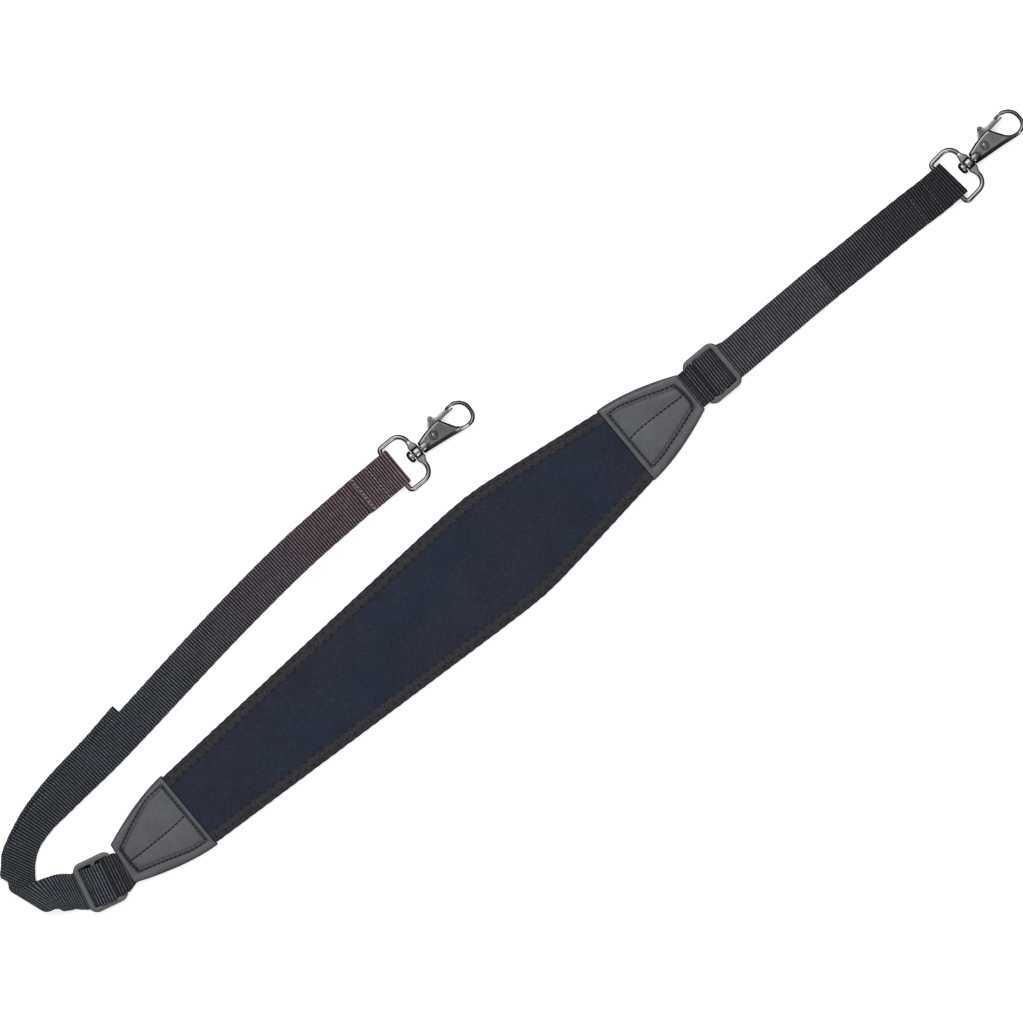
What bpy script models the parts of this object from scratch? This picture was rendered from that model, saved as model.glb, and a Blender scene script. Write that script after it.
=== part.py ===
"""Padded two-hook saxophone neck strap, lying flat: right arm stretched out, left arm curled back beside the pad.

The origin is the middle of the pad's back face. +X runs along the pad towards the right tab, +Z is up, away
from the wearer. Lengths below are millimetres, and MM turns them into Blender's metres.
"""

import math

import bmesh
import bpy
import numpy as np
from mathutils import Matrix, Vector

MM = 0.001
GAP = 0.3  # clearance between neighbouring pieces

# Pad
PAD_LEFT_X, PAD_RIGHT_X = -178.0, 177.5
PAD_PEAK_X = 81.0
PAD_PEAK_ROUNDING = 15.0
PAD_UPPER_Y = (26.0, 41.3, 28.0)  # left end, peak of the two tapers, right end
PAD_LOWER_Y = (-27.0, -40.3, -27.0)
PAD_THICK = 5.0
SKIN_THICK = 0.6
BINDING_REACH = 8.0  # how far the edge binding comes in over the pad
TONGUE_LENGTH = 10.0  # how far the core runs in between the leathers

# Leather tabs: each corner is (x, y), upper then lower
LEFT_TAB_BASE = ((-178.3, 27.2), (-178.3, -28.2))
LEFT_TAB_TIP = ((-229.5, 14.2), (-233.5, -13.5))
RIGHT_TAB_BASE = ((177.8, 28.8), (177.8, -27.3))
RIGHT_TAB_TIP = ((230.0, 14.4), (230.0, -13.4))
TAB_TAPER = 1.6  # power of the tab side's curve
LEATHER_THICK = 1.2
TAB_FRONT_Z = 4.4

# Webbing
WEB_WIDTH = 24.6
WEB_THICK = 1.4
LOOP_THICK = 1.1
RUN_Z = WEB_THICK / 2 + 0.05  # middle of a layer that lies on the ground
LAYER = WEB_THICK + GAP

# Three-bar adjuster, measured along u from the near bar
SLIDER_TILT = math.radians(4.5)
NEAR_BAR_Z = 3.4
NEAR_BAR_R = 1.7
CENTRE_BAR_U = 11.3
CENTRE_BAR_R = 1.5
FAR_BAR_U = (20.8, 24.8)
RUN_START_U = CENTRE_BAR_U + 0.8
TAIL_START_U = 22.4
LOOP_SLACK = 2.0  # how far past the near bar the tab's loop reaches
WRAP_NEAR_U = 6.3  # where the arm's webbing comes up through the near window
PINCH_U = (-9.0, -3.0)  # a loop may be narrower inside its tab: from here to here it widens to its full width
LEFT_MOUTH = 19.5
SLIDER_HALF_WIDTH = 16.6
SLIDER_WINDOW_HALF = 13.1
SLIDER_CORNER_R = 5.0
SLIDER_THICK = 3.2
LEFT_SLIDER = (Vector((-238.0, -2.6)), math.radians(166.0))
RIGHT_SLIDER = (Vector((236.2, 0.9)), 0.0)

# Snap hooks, measured along x from the middle of the eye's straight bar
HOOK_Z = 4.0
WIRE_R = 1.5
EYE_HALF_WIDTH = 16.4
EYE_DEPTH = 17.5
COLLAR_X = (15.2, 20.9)
COLLAR_R = 3.9
PIN_R = 1.6
PIN_HEAD_X = (12.2, 14.6)
PIN_HEAD_R = 3.5
PIN_END_X = 25.2
CLAW_HALF_THICK = 2.7
NECK_R = 3.8
CHANNEL_HALF = 1.2
LEVER_HALF_THICK = 0.85
PIVOT = (32.7, 1.4)
RIVET_R = 1.2
LEFT_HOOK = (Vector((56.5, 80.7)), 0.0, 0.0)  # middle of the bar, heading of the eye, heading of the claw
RIGHT_HOOK = (Vector((437.0, -2.1)), math.radians(6.0), math.radians(3.0))
SEWN_LENGTH = 28.5  # webbing sewn back on itself at the hook
LEFT_FOLD = Vector((57.1, 81.8))  # middle of the turn round the bar
RIGHT_FOLD_X = 439.0  # the right one's

# Right arm: middle of the webbing seen from above, and where its tail ends
RIGHT_ROUTE = [(236.2, 0.2), (262, -0.4), (300, -0.1), (335, 0.1), (360, -0.4), (410, -1.0)]
RIGHT_ROUTE += [(425, -1.6), (439, -1.2), (452, 0.5)]
RIGHT_TAIL_END_X = 340.0

# Left arm: from behind the adjuster it climbs to a rolled fold, turns down and under itself there, and leaves
# leaning over on its inner edge. Rows are the outer edge's (x, y, z) and the inner edge's.
LEFT_CLIMB = [(-266.8, 20.0, 4.2, -271.2, -2.4, 3.2), (-277.8, 24.2, 8.2, -278.0, 2.2, 7.9)]
LEFT_LEAN = [(-294.0, 42.6, 3.0, -283.6, 20.2, 2.7), (-290.8, 48.0, 7.2, -281.0, 26.2, 2.7)]
FOLD_MIDDLE, FOLD_HEADING = Vector((-289.8, 21.0, 5.65)), math.radians(109)  # the roll's middle and its direction
FOLD_RADIUS, FOLD_DRIFT = 3.2, 5.4  # drift: how far the webbing creeps along the roll in a quarter turn
FOLD_ANGLES = (-90, -45, 0, 40, 75)

# From there to the sewn end. Each row is the outer edge and the inner edge, both seen from above, then the height
# of the inner edge, which the webbing lies on; the outer edge is as high as the webbing's width asks for.
LEFT_ROUTE = [
    (-284.7, 52.8, -275.7, 32.6, 2.5),
    (-272.4, 56.8, -266.6, 40.2, 2.45),
    (-257.4, 62.2, -253.6, 44.4, 2.5),
    (-237.0, 66.6, -235.0, 46.2, 2.5),
    (-195.5, 71.4, -193.6, 49.4, 2.5),
    (-172.0, 74.6, -169.6, 52.2, 1.6),
    (-130.0, 80.6, -127.2, 57.6, 0.9),
    (-77.0, 87.4, -75.0, 63.8, 0.75),
    (-25.0, 92.2, -24.0, 68.3, 0.75),
    (27.6, 94.0, 27.6, 70.0, 0.75),
]
LEFT_TAIL_ROWS = (9.0, 17.0)  # rows of the left arm between which the tail drifts outwards
LEFT_TAIL_DRIFT = 5.2
ACROSS_STEPS = (-1, -0.5, 0, 0.5, 1)  # where the arm is divided across, as shares of half its width


def clear_scene():
    for obj in list(bpy.data.objects):
        bpy.data.objects.remove(obj, do_unlink=True)


def material(name, colour, roughness, metallic=0.0):
    made = bpy.data.materials.new(name)
    made.use_nodes = True
    shader = made.node_tree.nodes["Principled BSDF"]
    shader.inputs["Base Color"].default_value = (*colour, 1.0)
    shader.inputs["Roughness"].default_value = roughness
    shader.inputs["Metallic"].default_value = metallic
    return made


def solid(name, points, faces, surface, smooth=False):
    """One closed mesh object from points in millimetres."""
    mesh = bpy.data.meshes.new(name)
    mesh.from_pydata([tuple(p[i] * MM for i in range(3)) for p in points], [], faces)
    shaped = bmesh.new()
    shaped.from_mesh(mesh)
    bmesh.ops.recalc_face_normals(shaped, faces=shaped.faces)
    shaped.to_mesh(mesh)
    shaped.free()
    if surface:
        mesh.materials.append(surface)
    if smooth:
        mesh.shade_smooth()
        mesh.set_sharp_from_angle(angle=math.radians(35))
    obj = bpy.data.objects.new(name, mesh)
    bpy.context.scene.collection.objects.link(obj)
    return obj


def loft(name, rings, surface, closed=False, smooth=False):
    """Rings of equal length joined side by side, with the two ends capped unless the rings close on themselves."""
    count = len(rings[0])
    points = [point for ring in rings for point in ring]
    faces = []
    for i in range(len(rings) if closed else len(rings) - 1):
        here, there = i * count, (i + 1) % len(rings) * count
        for j in range(count):
            k = (j + 1) % count
            faces.append((here + j, here + k, there + k, there + j))
    if not closed:
        faces.append(tuple(range(count)))
        faces.append(tuple(range(len(points) - count, len(points))))
    return solid(name, points, faces, surface, smooth)


def cut(obj, cutter, operation="DIFFERENCE"):
    """Boolean with a hidden helper."""
    cutter.hide_render = True
    cutter.display_type = "WIRE"
    boolean = obj.modifiers.new(cutter.name, "BOOLEAN")
    boolean.operation = operation
    boolean.object = cutter


def arc(centre, radius, start, end, steps):
    """Points on an arc from start to end degrees."""
    angles = np.radians(np.linspace(start, end, steps + 1))
    return [(centre[0] + radius * math.cos(a), centre[1] + radius * math.sin(a)) for a in angles]


def smooth_route(rows, spacing):
    """Rows of numbers joined by a smooth curve, sampled about every spacing. Returns samples and row positions."""
    rows = np.array(rows, float)
    spans = np.linalg.norm(np.diff(rows, axis=0), axis=1)
    if rows.shape[1] == 6:
        spans = np.linalg.norm(np.diff((rows[:, :3] + rows[:, 3:]) / 2, axis=0), axis=1)
    slopes = np.diff(rows, axis=0) / spans[:, None]
    tangents = np.vstack([slopes[:1], slopes[1:], slopes[-1:]])
    inner = (slopes[:-1] * spans[1:, None] + slopes[1:] * spans[:-1, None]) / (spans[1:] + spans[:-1])[:, None]
    tangents[1:-1] = inner
    samples, places = [], []
    for i, span in enumerate(spans):
        steps = max(1, math.ceil(span / spacing))
        for step in range(steps):
            t = step / steps
            samples.append(
                (2 * t**3 - 3 * t**2 + 1) * rows[i]
                + (t**3 - 2 * t**2 + t) * span * tangents[i]
                + (3 * t**2 - 2 * t**3) * rows[i + 1]
                + (t**3 - t**2) * span * tangents[i + 1]
            )
            places.append(i + t)
    return np.array(samples + [rows[-1]]), np.array(places + [len(rows) - 1.0])


def pad_edge(x, edge):
    """Height of a long edge of the pad at x: two straight tapers that meet in a rounded peak."""
    left, peak, right = edge
    rise = (peak - left) / (PAD_PEAK_X - PAD_LEFT_X)
    fall = (peak - right) / (PAD_RIGHT_X - PAD_PEAK_X)
    d = x - PAD_PEAK_X
    return peak + (rise - fall) / 2 * d - (rise + fall) / 2 * math.hypot(d, PAD_PEAK_ROUNDING)


def pad_stations():
    rounded = np.linspace(PAD_PEAK_X - 36, PAD_PEAK_X + 36, 9)
    return [PAD_LEFT_X, -90.0, 0.0, *rounded, PAD_RIGHT_X]


def box_ring(x, low, high, bottom, top):
    return [(x, low, bottom), (x, high, bottom), (x, high, top), (x, low, top)]


def build_pad(foam, knit, tape):
    inset = BINDING_REACH + GAP
    core_bottom, core_top = SKIN_THICK + GAP, PAD_THICK - SKIN_THICK - GAP
    tongue = (LEATHER_THICK + GAP, TAB_FRONT_Z - GAP)
    edge = SKIN_THICK + GAP
    rings = [box_ring(PAD_LEFT_X - TONGUE_LENGTH, -21, 20, *tongue), box_ring(PAD_LEFT_X - 0.9, -21, 20, *tongue)]
    for x in pad_stations():
        inside = min(max(x, PAD_LEFT_X + 0.4), PAD_RIGHT_X - 0.4)
        low, high = pad_edge(x, PAD_LOWER_Y) + edge, pad_edge(x, PAD_UPPER_Y) - edge
        rings.append(box_ring(inside, low, high, core_bottom, core_top))
    rings.append(box_ring(PAD_RIGHT_X + 0.9, -21, 22, *tongue))
    rings.append(box_ring(PAD_RIGHT_X + TONGUE_LENGTH, -21, 22, *tongue))
    pieces = [loft("pad_core", rings, foam)]
    for name, bottom in (("pad_backing", 0.0), ("pad_face", PAD_THICK - SKIN_THICK)):
        rings = []
        for x in pad_stations():
            low, high = pad_edge(x, PAD_LOWER_Y) + inset, pad_edge(x, PAD_UPPER_Y) - inset
            rings.append(box_ring(x, low, high, bottom, bottom + SKIN_THICK))
        pieces.append(loft(name, rings, knit))
    for name, sizes, inwards in (("upper_binding", PAD_UPPER_Y, -1), ("lower_binding", PAD_LOWER_Y, 1)):
        rings = []
        for x in pad_stations():
            outer = pad_edge(x, sizes)
            wall, tip = outer + inwards * SKIN_THICK, outer + inwards * BINDING_REACH
            top, under = PAD_THICK, PAD_THICK - SKIN_THICK
            profile = [(tip, top), (outer, top), (outer, 0), (tip, 0)]
            profile += [(tip, SKIN_THICK), (wall, SKIN_THICK), (wall, under), (tip, under)]
            rings.append([(x, y, z) for y, z in profile])
        pieces.append(loft(name, rings, tape))
    return pieces


def build_tab(side, base, tip, leather):
    """Front and back leather of one tab: straight across both ends, with sides that curve in towards the tip."""
    pieces = []
    for name, bottom in (("tab_front", TAB_FRONT_Z), ("tab_back", 0.0)):
        rings = []
        for t in np.linspace(0, 1, 8):
            upper, lower = (
                (b[0] + (e[0] - b[0]) * t, b[1] + (e[1] - b[1]) * t**TAB_TAPER) for b, e in zip(base, tip)
            )
            top = bottom + LEATHER_THICK
            rings.append([(*lower, bottom), (*upper, bottom), (*upper, top), (*lower, top)])
        pieces.append(loft(f"{side}_{name}", rings, leather))
    return pieces


def strip(name, profile, plan, thickness, surface, mouth=WEB_WIDTH):
    """Webbing whose middle follows profile points (u, z), where plan(u) gives the place and heading seen from above.

    It narrows to the width mouth where it enters a tab, at u below PINCH_U[0].
    """
    profile = np.array(profile, float)
    heading = np.gradient(profile, axis=0)
    heading /= np.linalg.norm(heading, axis=1)[:, None]
    rings = []
    for (u, z), (du, dz) in zip(profile, heading):
        width = np.interp(u, PINCH_U, (mouth, WEB_WIDTH))
        ring = []
        for across, out in ((-1, -1), (1, -1), (1, 1), (-1, 1)):
            shift = out * thickness / 2
            middle, angle = plan(u - dz * shift)
            side = Vector((-math.sin(angle), math.cos(angle))) * across * width / 2
            ring.append((middle.x + side.x, middle.y + side.y, z + du * shift))
        rings.append(ring)
    return loft(name, rings, surface, smooth=True)


def straight_plan(start, angle):
    along = Vector((math.cos(angle), math.sin(angle)))
    return lambda u: (start + along * u, angle)


def curved_plan(route):
    """Plan that follows a smooth curve seen from above; u is the distance along it."""
    samples, _ = smooth_route(route, 2.0)
    lengths = np.concatenate([[0], np.cumsum(np.linalg.norm(np.diff(samples, axis=0), axis=1))])
    headings = np.unwrap(np.arctan2(*np.gradient(samples, axis=0).T[::-1]))

    def plan(u):
        place = Vector([np.interp(u, lengths, samples[:, i]) for i in (0, 1)])
        return place, float(np.interp(u, lengths, headings))

    return plan, lengths, samples


def joint_empty(name, place, angle, parent=None):
    """Marks a joint's axis. Pieces are parented to it."""
    empty = bpy.data.objects.new(name, None)
    empty.empty_display_size = 0.01
    bpy.context.scene.collection.objects.link(empty)
    world = Matrix.Translation(Vector(place) * MM) @ Matrix.Rotation(angle, 4, "Z")
    if parent:
        empty.parent = parent
        empty.matrix_parent_inverse = parent.matrix_world.inverted()
    empty.matrix_world = world
    bpy.context.view_layer.update()
    return empty


def attach(pieces, empty):
    for piece in pieces:
        piece.parent = empty
        piece.matrix_parent_inverse = empty.matrix_world.inverted()


def bar_z(u):
    """Height of the tilted adjuster's middle plane."""
    return NEAR_BAR_Z + u * math.tan(SLIDER_TILT)


def prism(name, outline, bottom, top, surface, place, smooth=False):
    """An (x, y) outline extruded in z, put in the world by the matrix place."""
    rings = [[place @ Vector((x, y, z)) for x, y in outline] for z in (bottom, top)]
    return loft(name, rings, surface, smooth=smooth)


def rounded_rectangle(left, right, half, radius, steps):
    turns = [(right - radius, half - radius, 0), (left + radius, half - radius, 90)]
    turns += [(left + radius, radius - half, 180), (right - radius, radius - half, 270)]
    return [point for x, y, start in turns for point in arc((x, y), radius, start, start + 90, steps)]


def build_slider(side, start, angle, plastic):
    """Moulded frame with a near, a centre and a far bar, its long edges rounded over."""
    tilted = Matrix.Translation((*start, NEAR_BAR_Z)) @ Matrix.Rotation(angle, 4, "Z")
    tilted = tilted @ Matrix.Rotation(-SLIDER_TILT, 4, "Y")
    outline = rounded_rectangle(-NEAR_BAR_R, FAR_BAR_U[1], SLIDER_HALF_WIDTH, SLIDER_CORNER_R, 5)
    half = SLIDER_THICK / 2
    frame = prism(f"{side}_slider", outline, -half, half, plastic, tilted)
    windows = ((NEAR_BAR_R, CENTRE_BAR_U - CENTRE_BAR_R), (CENTRE_BAR_U + CENTRE_BAR_R, FAR_BAR_U[0]))
    for i, (left, right) in enumerate(windows):
        window = rounded_rectangle(left, right, SLIDER_WINDOW_HALF, 1.0, 1)
        cut(frame, prism(f"{side}_window_{i}", window, -9, 9, None, tilted))
    bevel = frame.modifiers.new("Rounded edges", "BEVEL")
    bevel.width = 1.0 * MM
    bevel.segments = 2
    bevel.limit_method = "ANGLE"
    bevel.angle_limit = math.radians(50)
    bevel.use_clamp_overlap = False
    return frame


def build_tab_loop(side, plan, mouth, web):
    """Short webbing that leaves the tab, goes loosely round the near bar and returns."""
    radius = NEAR_BAR_R + GAP + LOOP_THICK / 2
    lower, upper = LEATHER_THICK + GAP + LOOP_THICK / 2, TAB_FRONT_Z - GAP - LOOP_THICK / 2
    profile = [(-18, lower), (-12, lower), (-5.2, lower), (-4.2, lower - 0.03)]
    profile += [(-2.2, (lower + NEAR_BAR_Z - radius) / 2), (-0.4, NEAR_BAR_Z - radius)]
    profile += arc((LOOP_SLACK, NEAR_BAR_Z), radius, -90, 90, 9)
    profile += [(-0.4, NEAR_BAR_Z + radius - 0.1), (-1.8, NEAR_BAR_Z + radius - 0.5), (-3.0, upper + 0.9)]
    profile += [(-4.2, upper + 0.15), (-5.5, upper), (-12, upper), (-18, upper)]
    return strip(f"{side}_tab_loop", profile, plan, LOOP_THICK, web, mouth)


def centre_wrap():
    """Profile of the arm's webbing: under the centre bar, up through the near window close behind the tab's loop,
    in a wide arc over the centre bar, and down through the far window to pass under the far bar."""
    top = bar_z(CENTRE_BAR_U) + CENTRE_BAR_R + 0.1 + GAP + WEB_THICK / 2
    tail_z = RUN_Z + LAYER
    turn = 2.0
    profile = [(RUN_START_U - GAP, RUN_Z)]
    profile += arc((WRAP_NEAR_U + turn, RUN_Z + turn), turn, 270, 180, 4)
    profile += arc((WRAP_NEAR_U + turn, top - turn), turn, 180, 90, 4)
    profile += [(CENTRE_BAR_U, top + 0.05), (14.2, top - 0.1), (16.4, top - 0.6), (18.0, top - 1.3), (19.1, top - 2.3)]
    profile += [(19.8, top - 3.3), (20.5, tail_z + 0.5), (21.3, tail_z + 0.1), (TAIL_START_U - GAP, tail_z)]
    return profile


def build_left_webbing(plan, web):
    under_slider = []
    for u in (RUN_START_U, TAIL_START_U, FAR_BAR_U[1] + 0.2):
        middle, angle = plan(u)
        half = Vector((math.sin(angle), -math.cos(angle))) * WEB_WIDTH / 2
        under_slider.append((*(middle + half), RUN_Z, *(middle - half), RUN_Z))
    folded = []
    along = Vector((math.cos(FOLD_HEADING), math.sin(FOLD_HEADING), 0))
    outwards = Vector((-along.y, along.x, 0))
    for angle in FOLD_ANGLES:
        turned = math.radians(angle)
        middle = FOLD_MIDDLE + outwards * FOLD_RADIUS * (math.cos(turned) - 1) + along * FOLD_DRIFT * angle / 90
        middle.z -= FOLD_RADIUS * math.sin(turned)
        half = along * WEB_WIDTH / 2
        folded.append((*(middle + half), *(middle - half)))
    leaning = []
    for over_x, over_y, ground_x, ground_y, ground_z in LEFT_ROUTE:
        seen = math.hypot(over_x - ground_x, over_y - ground_y)
        height = math.sqrt(max(WEB_WIDTH**2 - seen**2, 0))
        leaning.append((over_x, over_y, ground_z + height, ground_x, ground_y, ground_z))
    samples, rows = smooth_route(under_slider + LEFT_CLIMB + folded + LEFT_LEAN + leaning, 3.0)
    over, ground = samples[:, :3], samples[:, 3:]
    middle = (over + ground) / 2
    across = over - ground
    across /= np.linalg.norm(across, axis=1)[:, None]
    heading = np.gradient(middle, axis=0)
    up = np.cross(across, heading)
    up /= np.linalg.norm(up, axis=1)[:, None]
    middle[:, 2] = np.maximum(middle[:, 2], RUN_Z)

    def ribbon(name, chosen, lift, drift):
        rings = []
        for i in chosen:
            centre = middle[i] + up[i] * lift + across[i] * drift[i]
            ring = [centre + across[i] * v * WEB_WIDTH / 2 - up[i] * WEB_THICK / 2 for v in ACROSS_STEPS]
            ring += [centre + across[i] * v * WEB_WIDTH / 2 + up[i] * WEB_THICK / 2 for v in reversed(ACROSS_STEPS)]
            rings.append(ring)
        return loft(name, rings, web, smooth=True)

    still = np.zeros(len(rows))
    first, last = LEFT_TAIL_ROWS
    drift = LEFT_TAIL_DRIFT * np.clip((rows - first) / (last - first), 0, 1)
    tail_rows = [i for i in range(len(rows)) if 1.0 <= rows[i] <= last]
    return [
        ribbon("left_run", range(len(rows)), 0.0, still),
        ribbon("left_tail", tail_rows, LAYER, drift),
    ]


def build_right_webbing(plan, lengths, samples, web):
    sewn_start = np.interp(RIGHT_FOLD_X, samples[:, 0], lengths) - SEWN_LENGTH
    tail_end = np.interp(RIGHT_TAIL_END_X, samples[:, 0], lengths)
    lie = [(u, RUN_Z) for u in np.linspace(RUN_START_U, sewn_start - 12, 14)]
    rise = [(sewn_start - 8, RUN_Z + 0.25), (sewn_start - 4, RUN_Z + 0.9), (sewn_start - 1.5, RUN_Z + LAYER - 0.3)]
    run = lie + rise + [(sewn_start - GAP, RUN_Z + LAYER - 0.1)]
    tail = [(u, RUN_Z + LAYER) for u in np.linspace(TAIL_START_U, tail_end, 8)]
    return [
        strip("right_run", run, plan, WEB_THICK, web),
        strip("right_tail", tail, plan, WEB_THICK, web),
    ]


def hook_fold(side, turn_u, plan, web):
    """Webbing sewn back on itself round the eye's straight bar."""
    start = turn_u - SEWN_LENGTH
    radius = WIRE_R + GAP + WEB_THICK / 2
    low, high = RUN_Z, RUN_Z + LAYER
    bottom, top = HOOK_Z - radius, HOOK_Z + radius
    lower = [(start, low), (start + 9, low), (turn_u - 7, low), (turn_u - 3.5, (low + bottom) / 2)]
    upper = [(turn_u - 3.5, top - 0.1), (turn_u - 7, top - 1.4), (turn_u - 11, high + 0.8)]
    upper += [(turn_u - 15, high), (start + 7, high), (start, high)]
    turn = arc((turn_u, HOOK_Z), radius, -80, 80, 8)
    return strip(f"{side}_hook_fold", lower + turn + upper, plan, WEB_THICK, web)


def lathe(name, profile, place, surface, steps=16):
    """Profile points (x, radius) turned about the x axis, with a flat end cap at each end."""
    rings = []
    for x, radius in profile:
        turn = np.linspace(0, 2 * math.pi, steps, endpoint=False)
        rings.append([place @ Vector((x, radius * math.cos(a), radius * math.sin(a))) for a in turn])
    return loft(name, rings, surface, smooth=True)


def tube(name, path, radius, place, surface, steps=8, closed=False):
    """Round wire along 3-D points."""
    path = np.array(path, float)
    if closed:
        heading = np.roll(path, -1, axis=0) - np.roll(path, 1, axis=0)
    else:
        heading = np.gradient(path, axis=0)
    rings = []
    side = None
    for point, ahead in zip(path, heading):
        ahead = Vector(ahead).normalized()
        side = Vector((0, 0, 1)) if side is None else side
        side = (side - ahead * side.dot(ahead)).normalized()
        other = ahead.cross(side)
        ring = []
        for a in np.linspace(0, 2 * math.pi, steps, endpoint=False):
            ring.append(place @ (Vector(point) + radius * (side * math.cos(a) + other * math.sin(a))))
        rings.append(ring)
    return loft(name, rings, surface, closed=closed, smooth=True)


def build_eye(side, place, metal):
    """Wire loop with a straight bar for the webbing and a bored collar for the swivel."""
    near, far = 2.2, 7.0
    path = arc((EYE_DEPTH - far, EYE_HALF_WIDTH - far), far, 0, 90, 6)
    path += arc((near, EYE_HALF_WIDTH - near), near, 90, 180, 4)
    path += arc((near, near - EYE_HALF_WIDTH), near, 180, 270, 4)
    path += arc((EYE_DEPTH - far, far - EYE_HALF_WIDTH), far, 270, 360, 6)
    eye = tube(f"{side}_eye", [(x, y, 0) for x, y in path], WIRE_R, place, metal, steps=10, closed=True)
    low, high = COLLAR_X
    collar = lathe(
        f"{side}_collar",
        [(low, 3.2), (low + 0.7, COLLAR_R), (high - 1.2, COLLAR_R), (high, 3.0)],
        place,
        None,
    )
    bore = lathe(f"{side}_collar_bore", [(low - 3, PIN_R + 2 * GAP), (high + 3, PIN_R + 2 * GAP)], place, None)
    cut(eye, collar, "UNION")
    cut(eye, bore)
    return eye


def build_pin(side, place, metal):
    """Swivel pin: peened head inside the eye, shaft through the collar into the claw."""
    low, high = PIN_HEAD_X
    profile = [(low, 1.8), (low + 0.5, 2.9), (low + 1.3, PIN_HEAD_R), (high, PIN_HEAD_R), (high, PIN_R)]
    return lathe(f"{side}_swivel_pin", profile + [(PIN_END_X, PIN_R)], place, metal)


def claw_outline():
    """Side view of the claw: body, thick lower arm, round nose and teardrop bight."""
    bottom = [(21.3, -3.8), (31.5, -5.1), (41.5, -6.5), (49.5, -7.9)]
    nose = arc((54.2, -0.9), 7.6, -95, 0, 7) + arc((52.6, 1.2), 9.2, 8, 88, 6) + [(50.9, 10.1)]
    bight = [(50.7, 8.4), (53.2, 8.2), (56.3, 7.1), (58.5, 4.9), (59.3, 2.2), (59.3, -1.6)]
    bight += [(58.2, -4.1), (56.2, -5.5), (53.4, -5.9), (50.2, -5.4), (47.6, -3.6)]
    top = [(41.6, 6.3), (40.8, 7.4), (38.0, 7.6), (30.5, 6.7), (21.3, 4.2)]
    return bottom + nose + bight + top


def build_claw(side, place, metal):
    half = CLAW_HALF_THICK
    claw = prism(f"{side}_claw", claw_outline(), -half, half, metal, place)
    bevel = claw.modifiers.new("Softened edges", "BEVEL")
    bevel.width = 0.5 * MM
    bevel.segments = 1
    bevel.limit_method = "ANGLE"
    bevel.angle_limit = math.radians(60)
    neck = lathe(
        f"{side}_neck", [(21.25, 3.3), (21.9, NECK_R), (24.0, NECK_R), (28.8, 2.5)], place, None
    )
    cut(claw, neck, "UNION")
    channel = [(29.5, -3.4), (52.9, -3.4), (52.9, 14.0), (29.5, 14.0)]
    cut(claw, prism(f"{side}_channel", channel, -CHANNEL_HALF, CHANNEL_HALF, None, place))
    cut(claw, lathe(f"{side}_pin_bore", [(19.0, PIN_R + GAP), (PIN_END_X + GAP, PIN_R + GAP)], place, None))
    hole = arc(PIVOT, RIVET_R + GAP, 0, 345, 23)
    cut(claw, prism(f"{side}_rivet_hole", hole, -8, 8, None, place))
    return claw


def build_lever(side, place, metal):
    """Gate lever: boss round the rivet, thumb piece above it, bar out to the nose with a lip tucked inside."""
    outline = arc(PIVOT, 2.4, 150, 330, 8)
    outline += [(36.6, 3.7), (40.2, 5.2), (45.0, 6.0), (52.4, 6.6), (52.6, 7.7), (50.5, 7.9)]
    outline += [(50.4, 9.7), (40.0, 9.3), (38.3, 12.0), (37.2, 12.8), (36.3, 12.3), (33.0, 7.9), (31.0, 4.6)]
    lever = prism(f"{side}_lever", outline, -LEVER_HALF_THICK, LEVER_HALF_THICK, metal, place)
    hole = arc(PIVOT, RIVET_R + 0.1, 0, 345, 23)
    cut(lever, prism(f"{side}_lever_hole", hole, -8, 8, None, place))
    return lever


def build_rivet(side, place, metal):
    across = place @ Matrix.Translation((*PIVOT, 0)) @ Matrix.Rotation(math.radians(-90), 4, "Y")
    face = CLAW_HALF_THICK + GAP
    head = [(face, 2.9), (face + 0.3, 2.7), (face + 0.55, 1.8)]
    low = [(-x, radius) for x, radius in reversed(head)]
    return lathe(f"{side}_lever_rivet", low + [(-face, RIVET_R), (face, RIVET_R)] + head, across, metal)


def build_spring(side, place, metal):
    """Coil that stands in the claw's channel and pushes the lever up."""
    turns, steps, radius = 4.5, 9, 0.7
    foot, top = -2.9, 3.3
    path = []
    for i in range(int(turns * steps) + 1):
        a = 2 * math.pi * i / steps
        y = foot + (top - foot) * i / (turns * steps)
        path.append((38.4 + radius * math.cos(a), y, radius * math.sin(a)))
    return tube(f"{side}_lever_spring", path, 0.22, place, metal, steps=5)


def build_hook(side, middle, eye_heading, claw_heading, metal, steel):
    """Eye on the webbing's fold, and the claw that turns in the eye's collar. The claw may lean in the collar."""
    eye = Matrix.Translation((*middle, HOOK_Z)) @ Matrix.Rotation(eye_heading, 4, "Z")
    collar = Matrix.Translation(((COLLAR_X[0] + COLLAR_X[1]) / 2, 0, 0))
    claw = eye @ collar @ Matrix.Rotation(claw_heading - eye_heading, 4, "Z") @ collar.inverted()
    eye_axis = joint_empty(f"{side}_eye_axis", eye @ Vector((0, 0, 0)), eye_heading)
    claw_axis = joint_empty(f"{side}_claw_axis", claw @ Vector((COLLAR_X[1], 0, 0)), claw_heading, eye_axis)
    lever_axis = joint_empty(f"{side}_lever_axis", claw @ Vector((*PIVOT, 0)), claw_heading, claw_axis)
    attach([build_eye(side, eye, metal)], eye_axis)
    claw_pieces = [build_pin(side, claw, metal), build_claw(side, claw, metal)]
    claw_pieces += [build_rivet(side, claw, metal), build_spring(side, claw, steel)]
    attach(claw_pieces, claw_axis)
    attach([build_lever(side, claw, metal)], lever_axis)


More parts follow.
